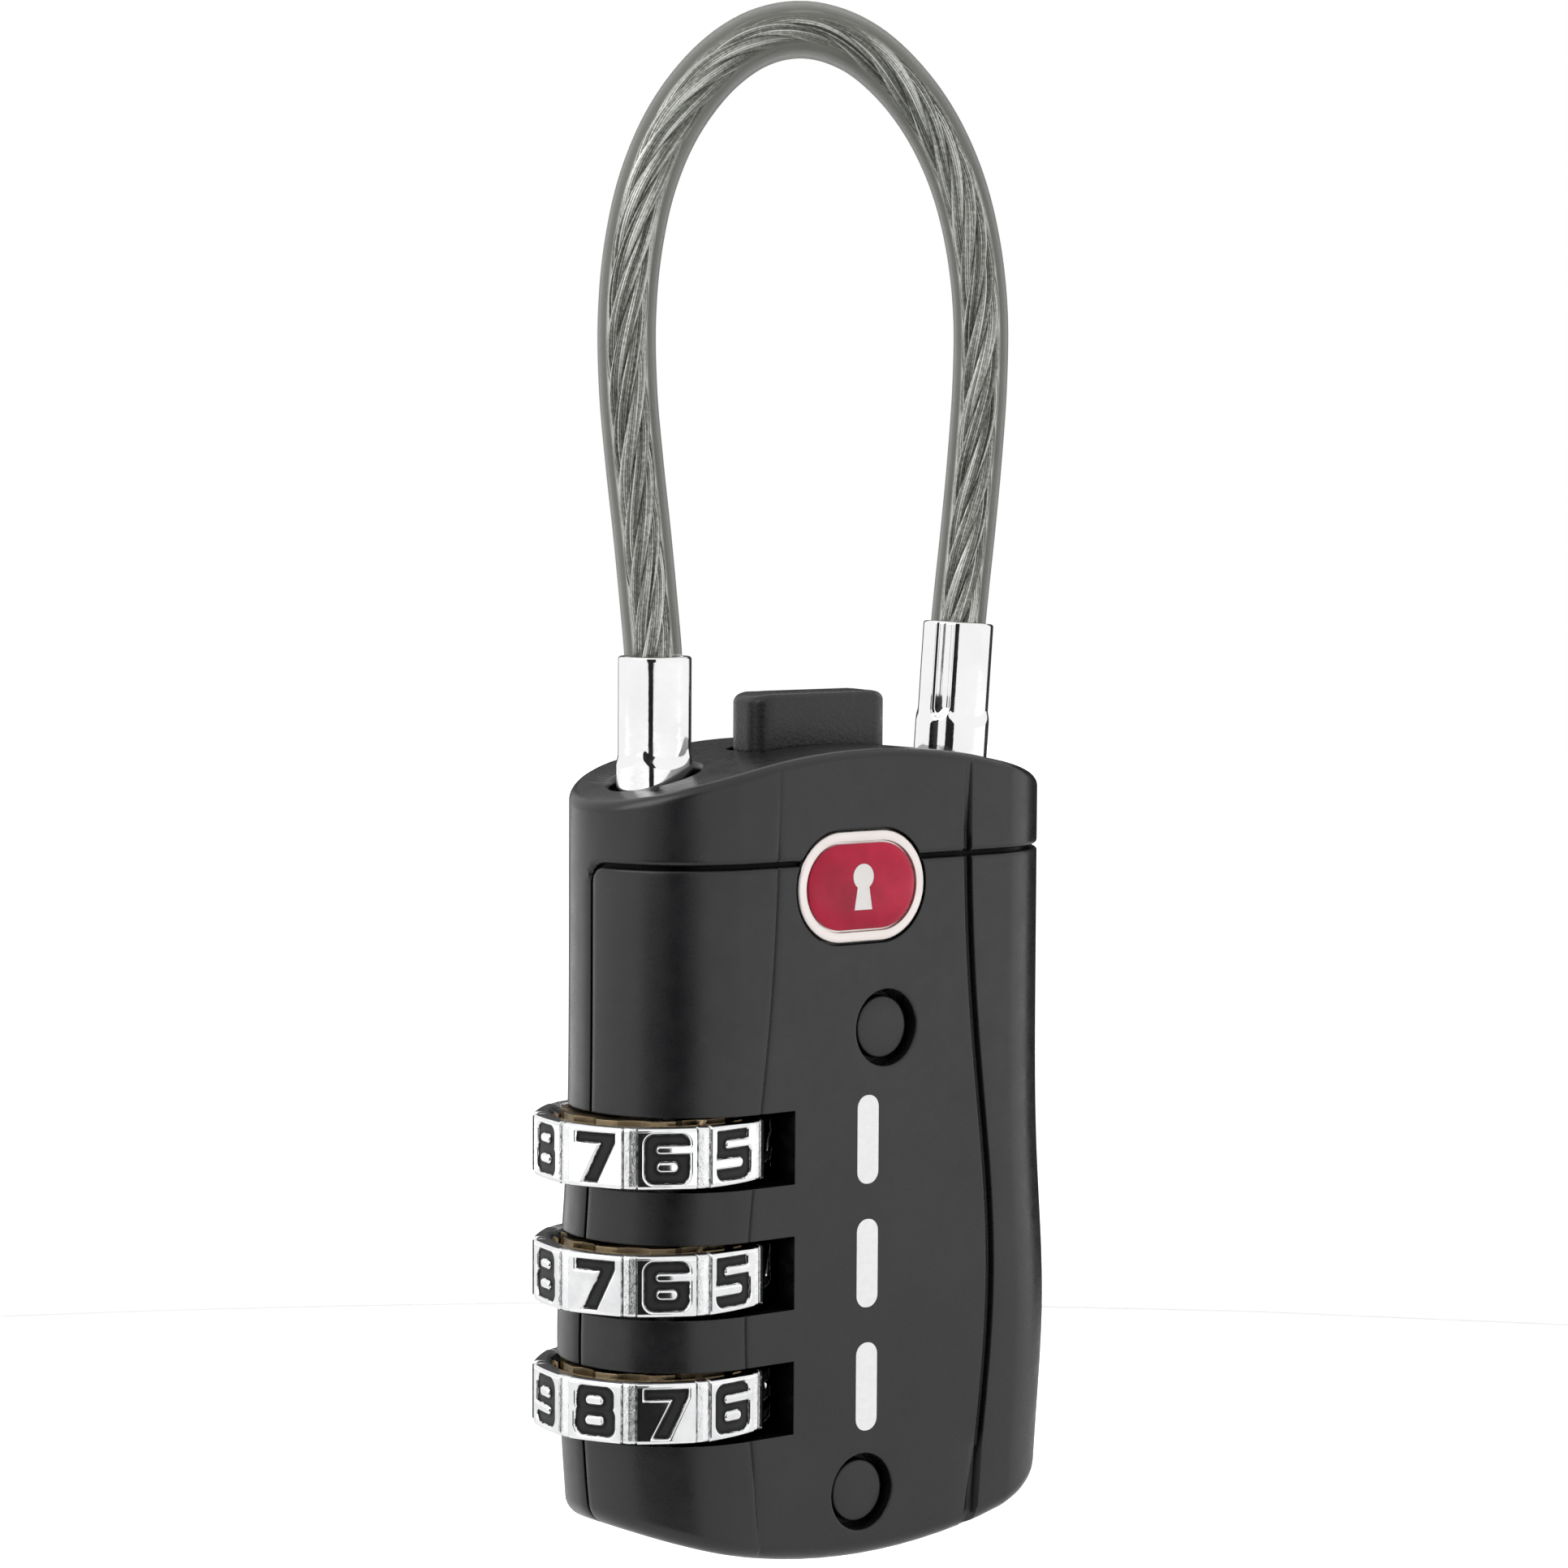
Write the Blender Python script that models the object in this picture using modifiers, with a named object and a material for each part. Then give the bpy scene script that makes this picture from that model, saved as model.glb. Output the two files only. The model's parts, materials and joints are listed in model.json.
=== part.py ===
"""Cable luggage lock: a three-dial body with a push-button release and a loop of steel cable.

Units are metres, +Z is up and the dials' slots face -Y. The origin is the inside of the cable
loop's crown, where the lock hangs. Every part is placed from the datum, the middle dial's
centre height on the body's middle plane, so the heights below are heights above that dial.
"""

import math

import bmesh
import bpy
from mathutils import Matrix, Vector

MM = 0.001

# Driving dimensions of the body.
LOOP_CROWN_HEIGHT = 67.4 * MM
HALF_WIDTH = 15.2 * MM
BULGE = 0.75 * MM
BULGE_HEIGHT = -4.0 * MM
BULGE_REACH = 8.0 * MM
HALF_DEPTH = 6.5 * MM
CREST_HEIGHT = 28.9 * MM
BASE_HEIGHT = -16.7 * MM
CREST_RADIUS = 42.0 * MM
BASE_RADIUS = 40.0 * MM
CREST_ROUND = 0.5 * MM
BASE_ROUND = 0.9 * MM
WALL = 1.2 * MM
SEAM_HEIGHT = 22.7 * MM
SEAM_GAP = 0.24 * MM
SEAM_CORNER = 0.9 * MM
CLEARANCE = 0.3 * MM

# Cable, legs and ferrules.
LEG_X = 10.87 * MM
CABLE_RADIUS = 1.6 * MM
CORE_RADIUS = 1.1 * MM
CORE_BORE = 1.3 * MM
FERRULE_RADIUS = 2.0 * MM
COLLAR_RADIUS = 2.14 * MM
FREE_FERRULE_TOP = 34.05 * MM
FREE_COLLAR_TOP = 28.5 * MM
FREE_PLUG_TIP = 17.9 * MM
FIXED_LEAN = math.radians(4.3)
FIXED_PIVOT = Vector((10.55 * MM, 0, 27.8 * MM))
FIXED_FERRULE_TOP = 7.75 * MM
FIXED_COLLAR_TOP = 2.1 * MM
FIXED_FERRULE_FOOT = -7.2 * MM
CORE_DEPTH = 4.5 * MM
LEG_HOLE = 2.55 * MM

# Dials, on the same axis as the free ferrule.
DIAL_X = -LEG_X
DIAL_PITCH = 7.0 * MM
DIAL_RADIUS = 6.71 * MM
DIAL_HEIGHT = 3.42 * MM
DIAL_BORE = 5.4 * MM
DIAL_GROOVE = 0.25 * MM
DIAL_CHAMFER = 0.28 * MM
DIGITS = 10
GROOVE_SHARE = 0.19
DIGIT_PHASE = math.radians(275.7)
CHAMBER_RADIUS = 7.05 * MM
CHAMBER_HEIGHT = 4.1 * MM
SLOT_FRONT_END = -5.94 * MM
SLOT_REAR_END = -9.4 * MM
CLUTCH_RADIUS = 5.15 * MM
CLUTCH_BORE = 2.35 * MM
SPINDLE_RADIUS = 1.9 * MM
SPINDLE_BORE = 3.1 * MM
DIAL_NAMES = ("top", "middle", "bottom")

# Push button and latch.
BUTTON_WIDTH = 9.6 * MM
BUTTON_DEPTH = 3.2 * MM
BUTTON_TOP = 32.1 * MM
BUTTON_TRAVEL = 1.6 * MM
FLANGE_TOP = 25.9 * MM
FLANGE_THICK = 1.0 * MM
CAP_UNDERSIDE = 22.9 * MM
LATCH_LOW = 19.3 * MM
LATCH_HIGH = 20.5 * MM
STEM_HALF = 1.2 * MM
WEDGE_LINE = -20.4 * MM
GUIDE_LOW = 17.6 * MM
GUIDE_HIGH = 21.8 * MM

# Rivets, badge and key cylinder.
RIVETS = {"upper_rivet": (0.45 * MM, 13.2 * MM), "lower_rivet": (-1.06 * MM, -12.97 * MM)}
RIVET_HOLE = 2.05 * MM
RIVET_RIM = 2.35 * MM
RIVET_HEAD = 1.83 * MM
RIVET_SHANK = 1.25 * MM
BADGE_CENTRE = (-1.3 * MM, 21.25 * MM)
BADGE_WIDTH = 9.0 * MM
BADGE_HEIGHT = 6.2 * MM
KEY_X = 5.6 * MM
PLUG_RADIUS = 2.6 * MM
SLEEVE_RADIUS = 3.5 * MM
WAFER_HEIGHTS = (-13.0 * MM, -11.0 * MM, -9.0 * MM, -7.0 * MM)

ARC_STEPS = 8
ROUND_STEPS = 28
FAR = 60 * MM

# Route of the cable's centreline from inside the free ferrule to inside the fixed one: (x, z).
CABLE_ROUTE = (
    (-10.87, 29.6), (-10.9, 32.0), (-11.0, 34.2), (-11.3, 36.9), (-11.75, 40.6), (-12.3, 44.6),
    (-12.75, 48.6), (-12.85, 52.6), (-12.45, 56.4), (-11.45, 60.1), (-9.65, 63.5), (-7.0, 66.4),
    (-3.9, 68.3), (-0.5, 69.0), (2.9, 68.45), (5.9, 66.85), (8.6, 64.35), (10.65, 61.2),
    (11.95, 57.6), (12.6, 53.6), (12.6, 49.4), (12.25, 45.0), (11.8, 41.0), (11.4, 37.9),
    (11.1, 35.4), (10.9, 33.2), (10.71, 30.9),
)
CABLE_STEPS_PER_SPAN = 2

MATERIALS = {}


def clear_scene():
    """Empties the file, so that nothing but the lock is in it."""
    for obj in list(bpy.data.objects):
        bpy.data.objects.remove(obj)


def material(name, colour, roughness, metallic=0.0):
    """A plain Principled material, made once."""
    if name not in MATERIALS:
        made = bpy.data.materials.new(name)
        made.use_nodes = True
        shader = made.node_tree.nodes["Principled BSDF"]
        shader.inputs["Base Color"].default_value = (*colour, 1)
        shader.inputs["Roughness"].default_value = roughness
        shader.inputs["Metallic"].default_value = metallic
        MATERIALS[name] = made
    return MATERIALS[name]


def black_cast():
    return material("black_cast", (0.035, 0.036, 0.038), 0.55)


def chrome():
    return material("chrome", (0.85, 0.85, 0.86), 0.12, 1.0)


def brass():
    return material("brass", (0.72, 0.53, 0.24), 0.3, 1.0)


def steel():
    return material("steel", (0.6, 0.6, 0.62), 0.3, 1.0)


def zinc():
    return material("zinc", (0.5, 0.5, 0.52), 0.45, 1.0)


# Mesh tools.


def place(obj, finish=None, location=(0, 0, 0)):
    """Puts an object in the lock's collection, at a place counted from the datum."""
    PARTS.objects.link(obj)
    obj.parent = DATUM
    obj.location = location
    if finish:
        obj.data.materials.append(finish)
        for polygon in getattr(obj.data, "polygons", ()):
            polygon.use_smooth = True
        if obj.type == "MESH":
            obj.data.set_sharp_from_angle(angle=math.radians(35))
    return obj


def cutter(obj):
    """Turns a placed object into a helper that isn't part of the lock."""
    PARTS.objects.unlink(obj)
    CUTTERS.objects.link(obj)
    obj.hide_render = True
    obj.display_type = "WIRE"
    return obj


def mesh_object(name, shape):
    """An object from a bmesh, which is freed."""
    bmesh.ops.recalc_face_normals(shape, faces=shape.faces)
    mesh = bpy.data.meshes.new(name)
    shape.to_mesh(mesh)
    shape.free()
    return bpy.data.objects.new(name, mesh)


def boolean(target, other, operation="DIFFERENCE"):
    """Adds a Boolean of one object on another."""
    modifier = target.modifiers.new(other.name, "BOOLEAN")
    modifier.object = other
    modifier.operation = operation
    return target


def box(name, low, high):
    """An upright box between two corners."""
    shape = bmesh.new()
    bmesh.ops.create_cube(shape, size=1)
    size = [b - a for a, b in zip(low, high)]
    centre = [(a + b) / 2 for a, b in zip(low, high)]
    bmesh.ops.transform(
        shape, matrix=Matrix.Translation(centre) @ Matrix.Diagonal((*size, 1)), verts=shape.verts
    )
    return mesh_object(name, shape)


def cylinder(name, start, end, radius, end_radius=None, steps=ROUND_STEPS):
    """A cylinder or cone from one point to another."""
    start, end = Vector(start), Vector(end)
    shape = bmesh.new()
    bmesh.ops.create_cone(
        shape,
        cap_ends=True,
        segments=steps,
        radius1=radius,
        radius2=radius if end_radius is None else end_radius,
        depth=(end - start).length,
    )
    turn = (end - start).to_track_quat("Z", "Y").to_matrix().to_4x4()
    bmesh.ops.transform(
        shape, matrix=Matrix.Translation((start + end) / 2) @ turn, verts=shape.verts
    )
    return mesh_object(name, shape)


def upright(name, radius, low, high, x=0.0, steps=ROUND_STEPS):
    """A vertical cylinder over the point x of the middle plane."""
    return cylinder(name, (x, 0, low), (x, 0, high), radius, steps=steps)


def prism(name, outline, low, high, axis="Z"):
    """A flat outline drawn out along an axis. Its points are (x, y), (x, z) or (y, z)."""
    spread = {
        "X": lambda a, b: (low, a, b),
        "Y": lambda a, b: (a, low, b),
        "Z": lambda a, b: (a, b, low),
    }[axis]
    shape = bmesh.new()
    face = shape.faces.new([shape.verts.new(spread(a, b)) for a, b in outline])
    drawn = bmesh.ops.extrude_face_region(shape, geom=[face])["geom"]
    shift = Vector([high - low if axis == letter else 0 for letter in "XYZ"])
    bmesh.ops.translate(
        shape, vec=shift, verts=[v for v in drawn if isinstance(v, bmesh.types.BMVert)]
    )
    return mesh_object(name, shape)


def turned(name, profile, steps=ROUND_STEPS):
    """A profile of (radius, height) points, read down its outer side, turned about Z."""
    shape = bmesh.new()
    points = [shape.verts.new((radius, 0, height)) for radius, height in profile]
    for first, second in zip(points, points[1:]):
        shape.edges.new((first, second))
    if profile[0][0] > 0:
        shape.edges.new((points[-1], points[0]))
    mesh = bpy.data.meshes.new(name)
    shape.to_mesh(mesh)
    shape.free()
    obj = bpy.data.objects.new(name, mesh)
    screw = obj.modifiers.new("turn", "SCREW")
    screw.steps = steps
    screw.render_steps = steps
    screw.use_merge_vertices = True
    screw.merge_threshold = 0.00001
    return obj


def arc(centre, radius, start, end, steps):
    """Points along an arc, both ends included, angles in degrees."""
    angles = [math.radians(start + (end - start) * i / steps) for i in range(steps + 1)]
    return [(centre[0] + radius * math.cos(a), centre[1] + radius * math.sin(a)) for a in angles]


def rounded_rectangle(width, height, radius, steps=4, centre=(0, 0)):
    """The outline of a rectangle with round corners."""
    x, y = width / 2 - radius, height / 2 - radius
    corners = (((x, y), 0), ((-x, y), 90), ((-x, -y), 180), ((x, -y), 270))
    outline = []
    for (cx, cy), start in corners:
        outline += arc((centre[0] + cx, centre[1] + cy), radius, start, start + 90, steps)
    return outline


def tube(name, points, radius, sides=2):
    """A wire along the points, as a curve with filled caps."""
    curve = bpy.data.curves.new(name, "CURVE")
    curve.dimensions = "3D"
    curve.bevel_depth = radius
    curve.bevel_resolution = sides
    curve.use_fill_caps = True
    spline = curve.splines.new("POLY")
    spline.points.add(len(points) - 1)
    for knot, point in zip(spline.points, points):
        knot.co = (*point, 1)
    return bpy.data.objects.new(name, curve)


def tube_mesh(name, points, radius):
    """The same wire as a closed mesh, which can be cut."""
    curve = tube(name + "_curve", points, radius)
    bpy.context.scene.collection.objects.link(curve)
    graph = bpy.context.evaluated_depsgraph_get()
    mesh = bpy.data.meshes.new_from_object(curve.evaluated_get(graph))
    bpy.data.objects.remove(curve)
    shape = bmesh.new()
    shape.from_mesh(mesh)
    bmesh.ops.remove_doubles(shape, verts=shape.verts, dist=0.000001)
    return mesh_object(name, shape)


def coil(x, y, z, radius, wire, length, turns, axis="Z"):
    """Points of a coil spring whose wire lies between 0 and length along its axis."""
    steps = int(turns * 8)
    points = []
    for i in range(steps + 1):
        angle = 2 * math.pi * turns * i / steps
        along = wire + (length - 2 * wire) * i / steps
        across = (radius * math.cos(angle), radius * math.sin(angle))
        offset = (along, *across) if axis == "X" else (*across, along)
        points.append(Vector((x, y, z)) + Vector(offset))
    return points


def smooth_route(route, steps):
    """Points on the Catmull-Rom curve through a route, steps to each span."""
    knots = [Vector((x * MM, 0, z * MM)) for x, z in route]
    ends = [2 * knots[0] - knots[1]] + knots + [2 * knots[-1] - knots[-2]]
    points = []
    for a, b, c, d in zip(ends, ends[1:], ends[2:], ends[3:]):
        for i in range(steps):
            t = i / steps
            points.append(
                0.5 * (2 * b + t * (c - a) + t * t * (2 * a - 5 * b + 4 * c - d)
                       + t**3 * (3 * b - a - 3 * c + d))
            )
    return points + [knots[-1]]


# The body's shell.


def half_width(z):
    """The body swells a little round the lower dials."""
    return HALF_WIDTH + BULGE * math.exp(-(((z - BULGE_HEIGHT) / BULGE_REACH) ** 2))


def crest(x):
    return CREST_HEIGHT - CREST_RADIUS + math.sqrt(CREST_RADIUS**2 - x**2)


def base(x):
    return BASE_HEIGHT + BASE_RADIUS - math.sqrt(BASE_RADIUS**2 - x**2)


def plan_columns(z, inset):
    """(x, half depth) of each column of the body's plan, from its left tip to its right tip."""
    depth = HALF_DEPTH - inset
    straight = half_width(z) - HALF_DEPTH
    left = [(-straight - depth * math.cos(math.radians(a)), depth * math.sin(math.radians(a)))
            for a in [90 * i / ARC_STEPS for i in range(ARC_STEPS + 1)]]
    middle = [(straight * (i / 4 - 1), depth) for i in range(1, 8)]
    right = [(-x, y) for x, y in reversed(left)]
    return left + middle + right


def ring_loft(name, rings):
    """A closed body from rings of (x, half depth, z) columns, lowest ring first."""
    shape = bmesh.new()
    fronts, backs = [], []
    for ring in rings:
        front = [shape.verts.new((x, -y, z)) for x, y, z in ring]
        back = [f if i in (0, len(ring) - 1) else shape.verts.new((x, y, z))
                for i, (f, (x, y, z)) in enumerate(zip(front, ring))]
        fronts.append(front)
        backs.append(back)
    for side in (fronts, backs):
        for low, high in zip(side, side[1:]):
            for i in range(len(low) - 1):
                shape.faces.new((low[i], low[i + 1], high[i + 1], high[i]))
    for front, back in ((fronts[0], backs[0]), (fronts[-1], backs[-1])):
        for i in range(len(front) - 1):
            corners = (front[i], front[i + 1], back[i + 1], back[i])
            shape.faces.new(list(dict.fromkeys(corners)))
    return mesh_object(name, shape)


def body_solid(name, inset=0.0, round_top=CREST_ROUND, round_base=BASE_ROUND, flat_top=None):
    """The body's outer form, or the form that lies inset from it."""
    rings = []
    for i in range(3):
        angle = math.radians(45 * i)
        more = round_base * (1 - math.sin(angle))
        drop = round_base * (1 - math.cos(angle))
        rings.append([(x, y, base(x) + inset + drop)
                      for x, y in plan_columns(base(HALF_WIDTH), inset + more)])
    for z in (-9, -4, 1, 6, 11, 17):
        rings.append([(x, y, z * MM) for x, y in plan_columns(z * MM, inset)])
    if flat_top is not None:
        rings.append([(x, y, flat_top) for x, y in plan_columns(flat_top, inset)])
        return ring_loft(name, rings)
    for i in range(3):
        angle = math.radians(45 * i)
        more = round_top * (1 - math.cos(angle))
        rise = round_top * math.sin(angle)
        rings.append([(x, y, crest(x) - inset - round_top + rise)
                      for x, y in plan_columns(CREST_HEIGHT, inset + more)])
    return ring_loft(name, rings)


def cover_region(name, grow):
    """The space that the front cover takes: ahead of the middle plane and below the seam."""
    behind, top = grow - SEAM_GAP / 2, SEAM_HEIGHT + grow - SEAM_GAP / 2
    corner = SEAM_CORNER + grow
    outline = [(-FAR, -FAR), (behind, -FAR)]
    outline += arc((behind - corner, top - corner), corner, 0, 90, 4)
    outline.append((-FAR, top))
    return prism(name, outline, -FAR, FAR, axis="X")


def cavity_cutters():
    """The hollows that both shells share: mechanism room, key room and dial chambers."""
    keep = {}
    hollow = cutter(place(body_solid("inner_form", WALL, 0, 0, CAP_UNDERSIDE)))
    bosses = [cutter(place(cylinder(f"{name}_boss", (x, -FAR, z), (x, FAR, z), 2.5 * MM)))
              for name, (x, z) in RIVETS.items()]
    rooms = {
        "mechanism_room": ((-FAR, -FAR, 10.9 * MM), (FAR, FAR, FAR)),
        "key_room": ((-3.9 * MM, -FAR, -FAR), (FAR, FAR, 11.0 * MM)),
    }
    for name, (low, high) in rooms.items():
        room = cutter(place(box(name, low, high)))
        boolean(room, hollow, "INTERSECT")
        for boss in bosses:
            boolean(room, boss)
        keep[name] = room
    for name, z in dial_heights():
        keep[f"chamber_{name}"] = cutter(place(upright(
            f"chamber_{name}", CHAMBER_RADIUS, z - CHAMBER_HEIGHT / 2, z + CHAMBER_HEIGHT / 2,
            DIAL_X, steps=48)))
    keep["spindle_bore"] = cutter(place(upright(
        "spindle_bore", SPINDLE_BORE, -9.8 * MM, 11.5 * MM, DIAL_X)))
    keep["spring_pocket"] = cutter(place(upright(
        "spring_pocket", 2.4 * MM, -13.2 * MM, -9.0 * MM, DIAL_X)))
    return keep


def dial_heights():
    return [(name, DIAL_PITCH * (1 - i)) for i, name in enumerate(DIAL_NAMES)]


def slot_cutters(name, end, side):
    """One window to each dial, open at the body's left side. side is -1 at the front."""
    made = []
    for dial, z in dial_heights():
        low = (-FAR, min(0, side * FAR), z - CHAMBER_HEIGHT / 2)
        high = (end, max(0, side * FAR), z + CHAMBER_HEIGHT / 2)
        made.append(cutter(place(box(f"{name}_{dial}", low, high))))
    return made


def badge_recess():
    outline = rounded_rectangle(BADGE_WIDTH + CLEARANCE, BADGE_HEIGHT + CLEARANCE,
                                BADGE_HEIGHT / 2, 8, BADGE_CENTRE)
    return cutter(place(prism("badge_recess", outline, -FAR, -HALF_DEPTH + 0.45 * MM, axis="Y")))


def shells():
    """The rear housing, which has the whole cap, and the front cover."""
    rear = place(body_solid("rear_housing"), black_cast())
    front = place(body_solid("front_cover"), black_cast())
    boolean(rear, cutter(place(cover_region("cover_room", SEAM_GAP))))
    boolean(front, cutter(place(cover_region("cover_space", 0))), "INTERSECT")
    recess = badge_recess()
    key_hole = cutter(place(upright("key_hole", PLUG_RADIUS + 0.25 * MM, -FAR, -14 * MM, KEY_X)))
    for shell in (rear, front):
        for hollow in CAVITIES.values():
            boolean(shell, hollow)
        boolean(shell, recess)
        boolean(shell, key_hole)
    for slot in slot_cutters("front_slot", SLOT_FRONT_END, -1):
        boolean(front, slot)
    for slot in slot_cutters("rear_slot", SLOT_REAR_END, 1):
        boolean(rear, slot)
    for name, (x, z) in RIVETS.items():
        head = cutter(place(cylinder(
            f"{name}_hole", (x, -FAR, z), (x, -4.7 * MM, z), RIVET_HOLE)))
        rim = cutter(place(cylinder(
            f"{name}_rim", (x, -HALF_DEPTH - 0.3 * MM, z), (x, -HALF_DEPTH + 0.3 * MM, z),
            RIVET_RIM + 0.3 * MM, RIVET_HOLE)))
        shank = cutter(place(cylinder(
            f"{name}_bore", (x, -FAR, z), (x, 4.9 * MM, z), RIVET_SHANK + CLEARANCE)))
        for hole in (head, rim, shank):
            boolean(front, hole)
        boolean(rear, shank)
    for obj in cap_cutters():
        boolean(rear, obj)


def cap_cutters():
    """The cap's holes for the two legs and the button."""
    hole = rounded_rectangle(BUTTON_WIDTH + 0.5 * MM, BUTTON_DEPTH + 0.5 * MM, 1.1 * MM)
    pocket = rounded_rectangle(11.2 * MM, 4.8 * MM, 1.3 * MM)
    return [
        cutter(place(prism("button_hole", hole, CAP_UNDERSIDE - MM, FAR))),
        cutter(place(prism("button_pocket", pocket, CAP_UNDERSIDE - MM, FLANGE_TOP + 0.2 * MM))),
        cutter(place(upright("free_leg_hole", LEG_HOLE, CAP_UNDERSIDE - MM, FAR, -LEG_X))),
        cutter(place(upright("fixed_leg_hole", LEG_HOLE, CAP_UNDERSIDE - MM, FAR,
                             FIXED_PIVOT.x))),
    ]


def rivets():
    """Plugs with a domeless head at the front and a shank in the rear housing's boss."""
    for name, (x, z) in RIVETS.items():
        profile = [(0, 0.85 * MM), (RIVET_HEAD - 0.15 * MM, 0.85 * MM),
                   (RIVET_HEAD, 0.7 * MM), (RIVET_HEAD, 0), (RIVET_SHANK, 0),
                   (RIVET_SHANK, -9.2 * MM), (0, -9.2 * MM)]
        rivet = place(turned(name, profile, 24), black_cast(), (x, -5.0 * MM + CLEARANCE, z))
        rivet.rotation_euler = (math.radians(90), 0, 0)


def badge():
    """A plain oval badge: a silver plate that carries a red enamel field."""
    face = -HALF_DEPTH - 0.05 * MM
    outline = rounded_rectangle(BADGE_WIDTH, BADGE_HEIGHT, BADGE_HEIGHT / 2 - 0.05 * MM, 8)
    field = rounded_rectangle(BADGE_WIDTH - 1.4 * MM, BADGE_HEIGHT - 1.4 * MM,
                              BADGE_HEIGHT / 2 - 0.75 * MM, 8)
    bed = rounded_rectangle(BADGE_WIDTH - 1.1 * MM, BADGE_HEIGHT - 1.1 * MM,
                            BADGE_HEIGHT / 2 - 0.6 * MM, 8)
    spot = (BADGE_CENTRE[0], 0, BADGE_CENTRE[1])
    plate = prism("badge_plate", outline, face, -HALF_DEPTH + 0.35 * MM, axis="Y")
    place(plate, material("silver", (0.8, 0.79, 0.77), 0.35, 1.0), spot)
    boolean(plate, cutter(place(
        prism("enamel_bed", bed, -FAR, -HALF_DEPTH + 0.1 * MM, axis="Y"), None, spot)))
    enamel = prism("badge_enamel", field, face + 0.02 * MM, -HALF_DEPTH + 0.03 * MM, axis="Y")
    place(enamel, material("red_enamel", (0.62, 0.03, 0.07), 0.25), spot)


# Dials and what they turn on.


def toothed_outline(radius, root, share, count=DIGITS, phase=DIGIT_PHASE, steps=3):
    """A circle with count flat pads, parted by grooves that take up share of the pitch."""
    pitch = 360 / count
    half_pad = pitch * (1 - share) / 2
    half_root = half_pad + 0.25 * pitch * share
    outline = []
    for i in range(count):
        middle = math.degrees(phase) + pitch * i
        outline += arc((0, 0), radius, middle - half_pad, middle + half_pad, steps)
        outline += arc((0, 0), root, middle + half_root, middle + pitch - half_root, 1)
    return outline


def dials():
    for name, z in dial_heights():
        outline = toothed_outline(DIAL_RADIUS, DIAL_RADIUS - DIAL_GROOVE, GROOVE_SHARE)
        dial = prism(f"dial_{name}", outline, -DIAL_HEIGHT / 2, DIAL_HEIGHT / 2)
        place(dial, chrome(), (DIAL_X, 0, z))
        edge = turned(
            f"dial_edge_{name}",
            [(0, DIAL_HEIGHT / 2 + 0.01 * MM),
             (DIAL_RADIUS - DIAL_CHAMFER, DIAL_HEIGHT / 2 + 0.01 * MM),
             (DIAL_RADIUS + 0.05 * MM, DIAL_HEIGHT / 2 - DIAL_CHAMFER),
             (DIAL_RADIUS + 0.05 * MM, -DIAL_HEIGHT / 2 + DIAL_CHAMFER),
             (DIAL_RADIUS - DIAL_CHAMFER, -DIAL_HEIGHT / 2 - 0.01 * MM),
             (0, -DIAL_HEIGHT / 2 - 0.01 * MM)],
            60,
        )
        boolean(dial, cutter(place(edge, None, (DIAL_X, 0, z))), "INTERSECT")
        bore = toothed_outline(DIAL_BORE, DIAL_BORE - 0.3 * MM, 0.5, steps=2)
        boolean(dial, cutter(place(prism(f"dial_bore_{name}", bore, -FAR, FAR), None,
                                   (DIAL_X, 0, z))))

        outline = toothed_outline(CLUTCH_RADIUS, CLUTCH_RADIUS - 0.3 * MM, 0.58, steps=2)
        clutch = prism(f"clutch_{name}", outline, -1.6 * MM, 1.85 * MM)
        place(clutch, brass(), (DIAL_X, 0, z))
        bore = upright(f"clutch_bore_{name}", CLUTCH_BORE, -FAR, FAR, steps=24)
        boolean(clutch, cutter(place(bore, None, (DIAL_X, 0, z))))
        keyway = box(f"clutch_keyway_{name}", (0, -0.9 * MM, -FAR), (3.15 * MM, 0.9 * MM, FAR))
        boolean(clutch, cutter(place(keyway, None, (DIAL_X, 0, z))))


def spindle():
    """The shaft through the dials, with a tooth above each clutch and a blocking lug on its head."""
    profile = [(0, 16.9), (3.0, 16.9), (3.0, 15.9), (1.9, 15.9), (1.9, -9.6), (2.2, -9.6),
               (2.2, -10.4), (0.9, -10.4), (0.9, -12.6), (0, -12.6)]
    shaft = turned("spindle", [(r * MM, z * MM) for r, z in profile], 24)
    place(shaft, steel(), (DIAL_X, 0, 0))
    lugs = [box("head_lug", (1.97 * MM, -0.6 * MM, 16.4 * MM), (2.9 * MM, 0.6 * MM, 19.0 * MM))]
    for name, z in dial_heights():
        low, high = z + 2.3 * MM, z + 4.7 * MM
        lugs.append(box(f"tooth_{name}", (MM, -0.6 * MM, low), (2.85 * MM, 0.6 * MM, high)))
    for lug in lugs:
        boolean(shaft, cutter(place(lug, None, (DIAL_X, 0, 0))), "UNION")
    spring = tube("spindle_spring", coil(DIAL_X, 0, -13.1 * MM, 1.75 * MM, 0.2 * MM,
                                         2.6 * MM, 3.5), 0.2 * MM, 1)
    place(spring, steel())


def click_spring():
    """A sprung comb beside the dials, with one finger to each."""
    spine = box("click_spring", (-3.0 * MM, 2.0 * MM, -9.5 * MM), (-2.75 * MM, 3.6 * MM, 9.5 * MM))
    place(spine, steel())
    for name, z in dial_heights():
        outline = [(-3.0, 2.2), (-3.0, 1.4), (-3.75, 0.3), (-3.4, -1.4), (-3.15, -1.4),
                   (-3.45, 0.3), (-2.75, 1.3), (-2.75, 2.2)]
        finger = prism(f"finger_{name}", [(x * MM, y * MM) for x, y in outline],
                       z - 1.1 * MM, z + 1.1 * MM)
        boolean(spine, cutter(place(finger)), "UNION")


# Button, latch and the two ferrules.


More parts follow.
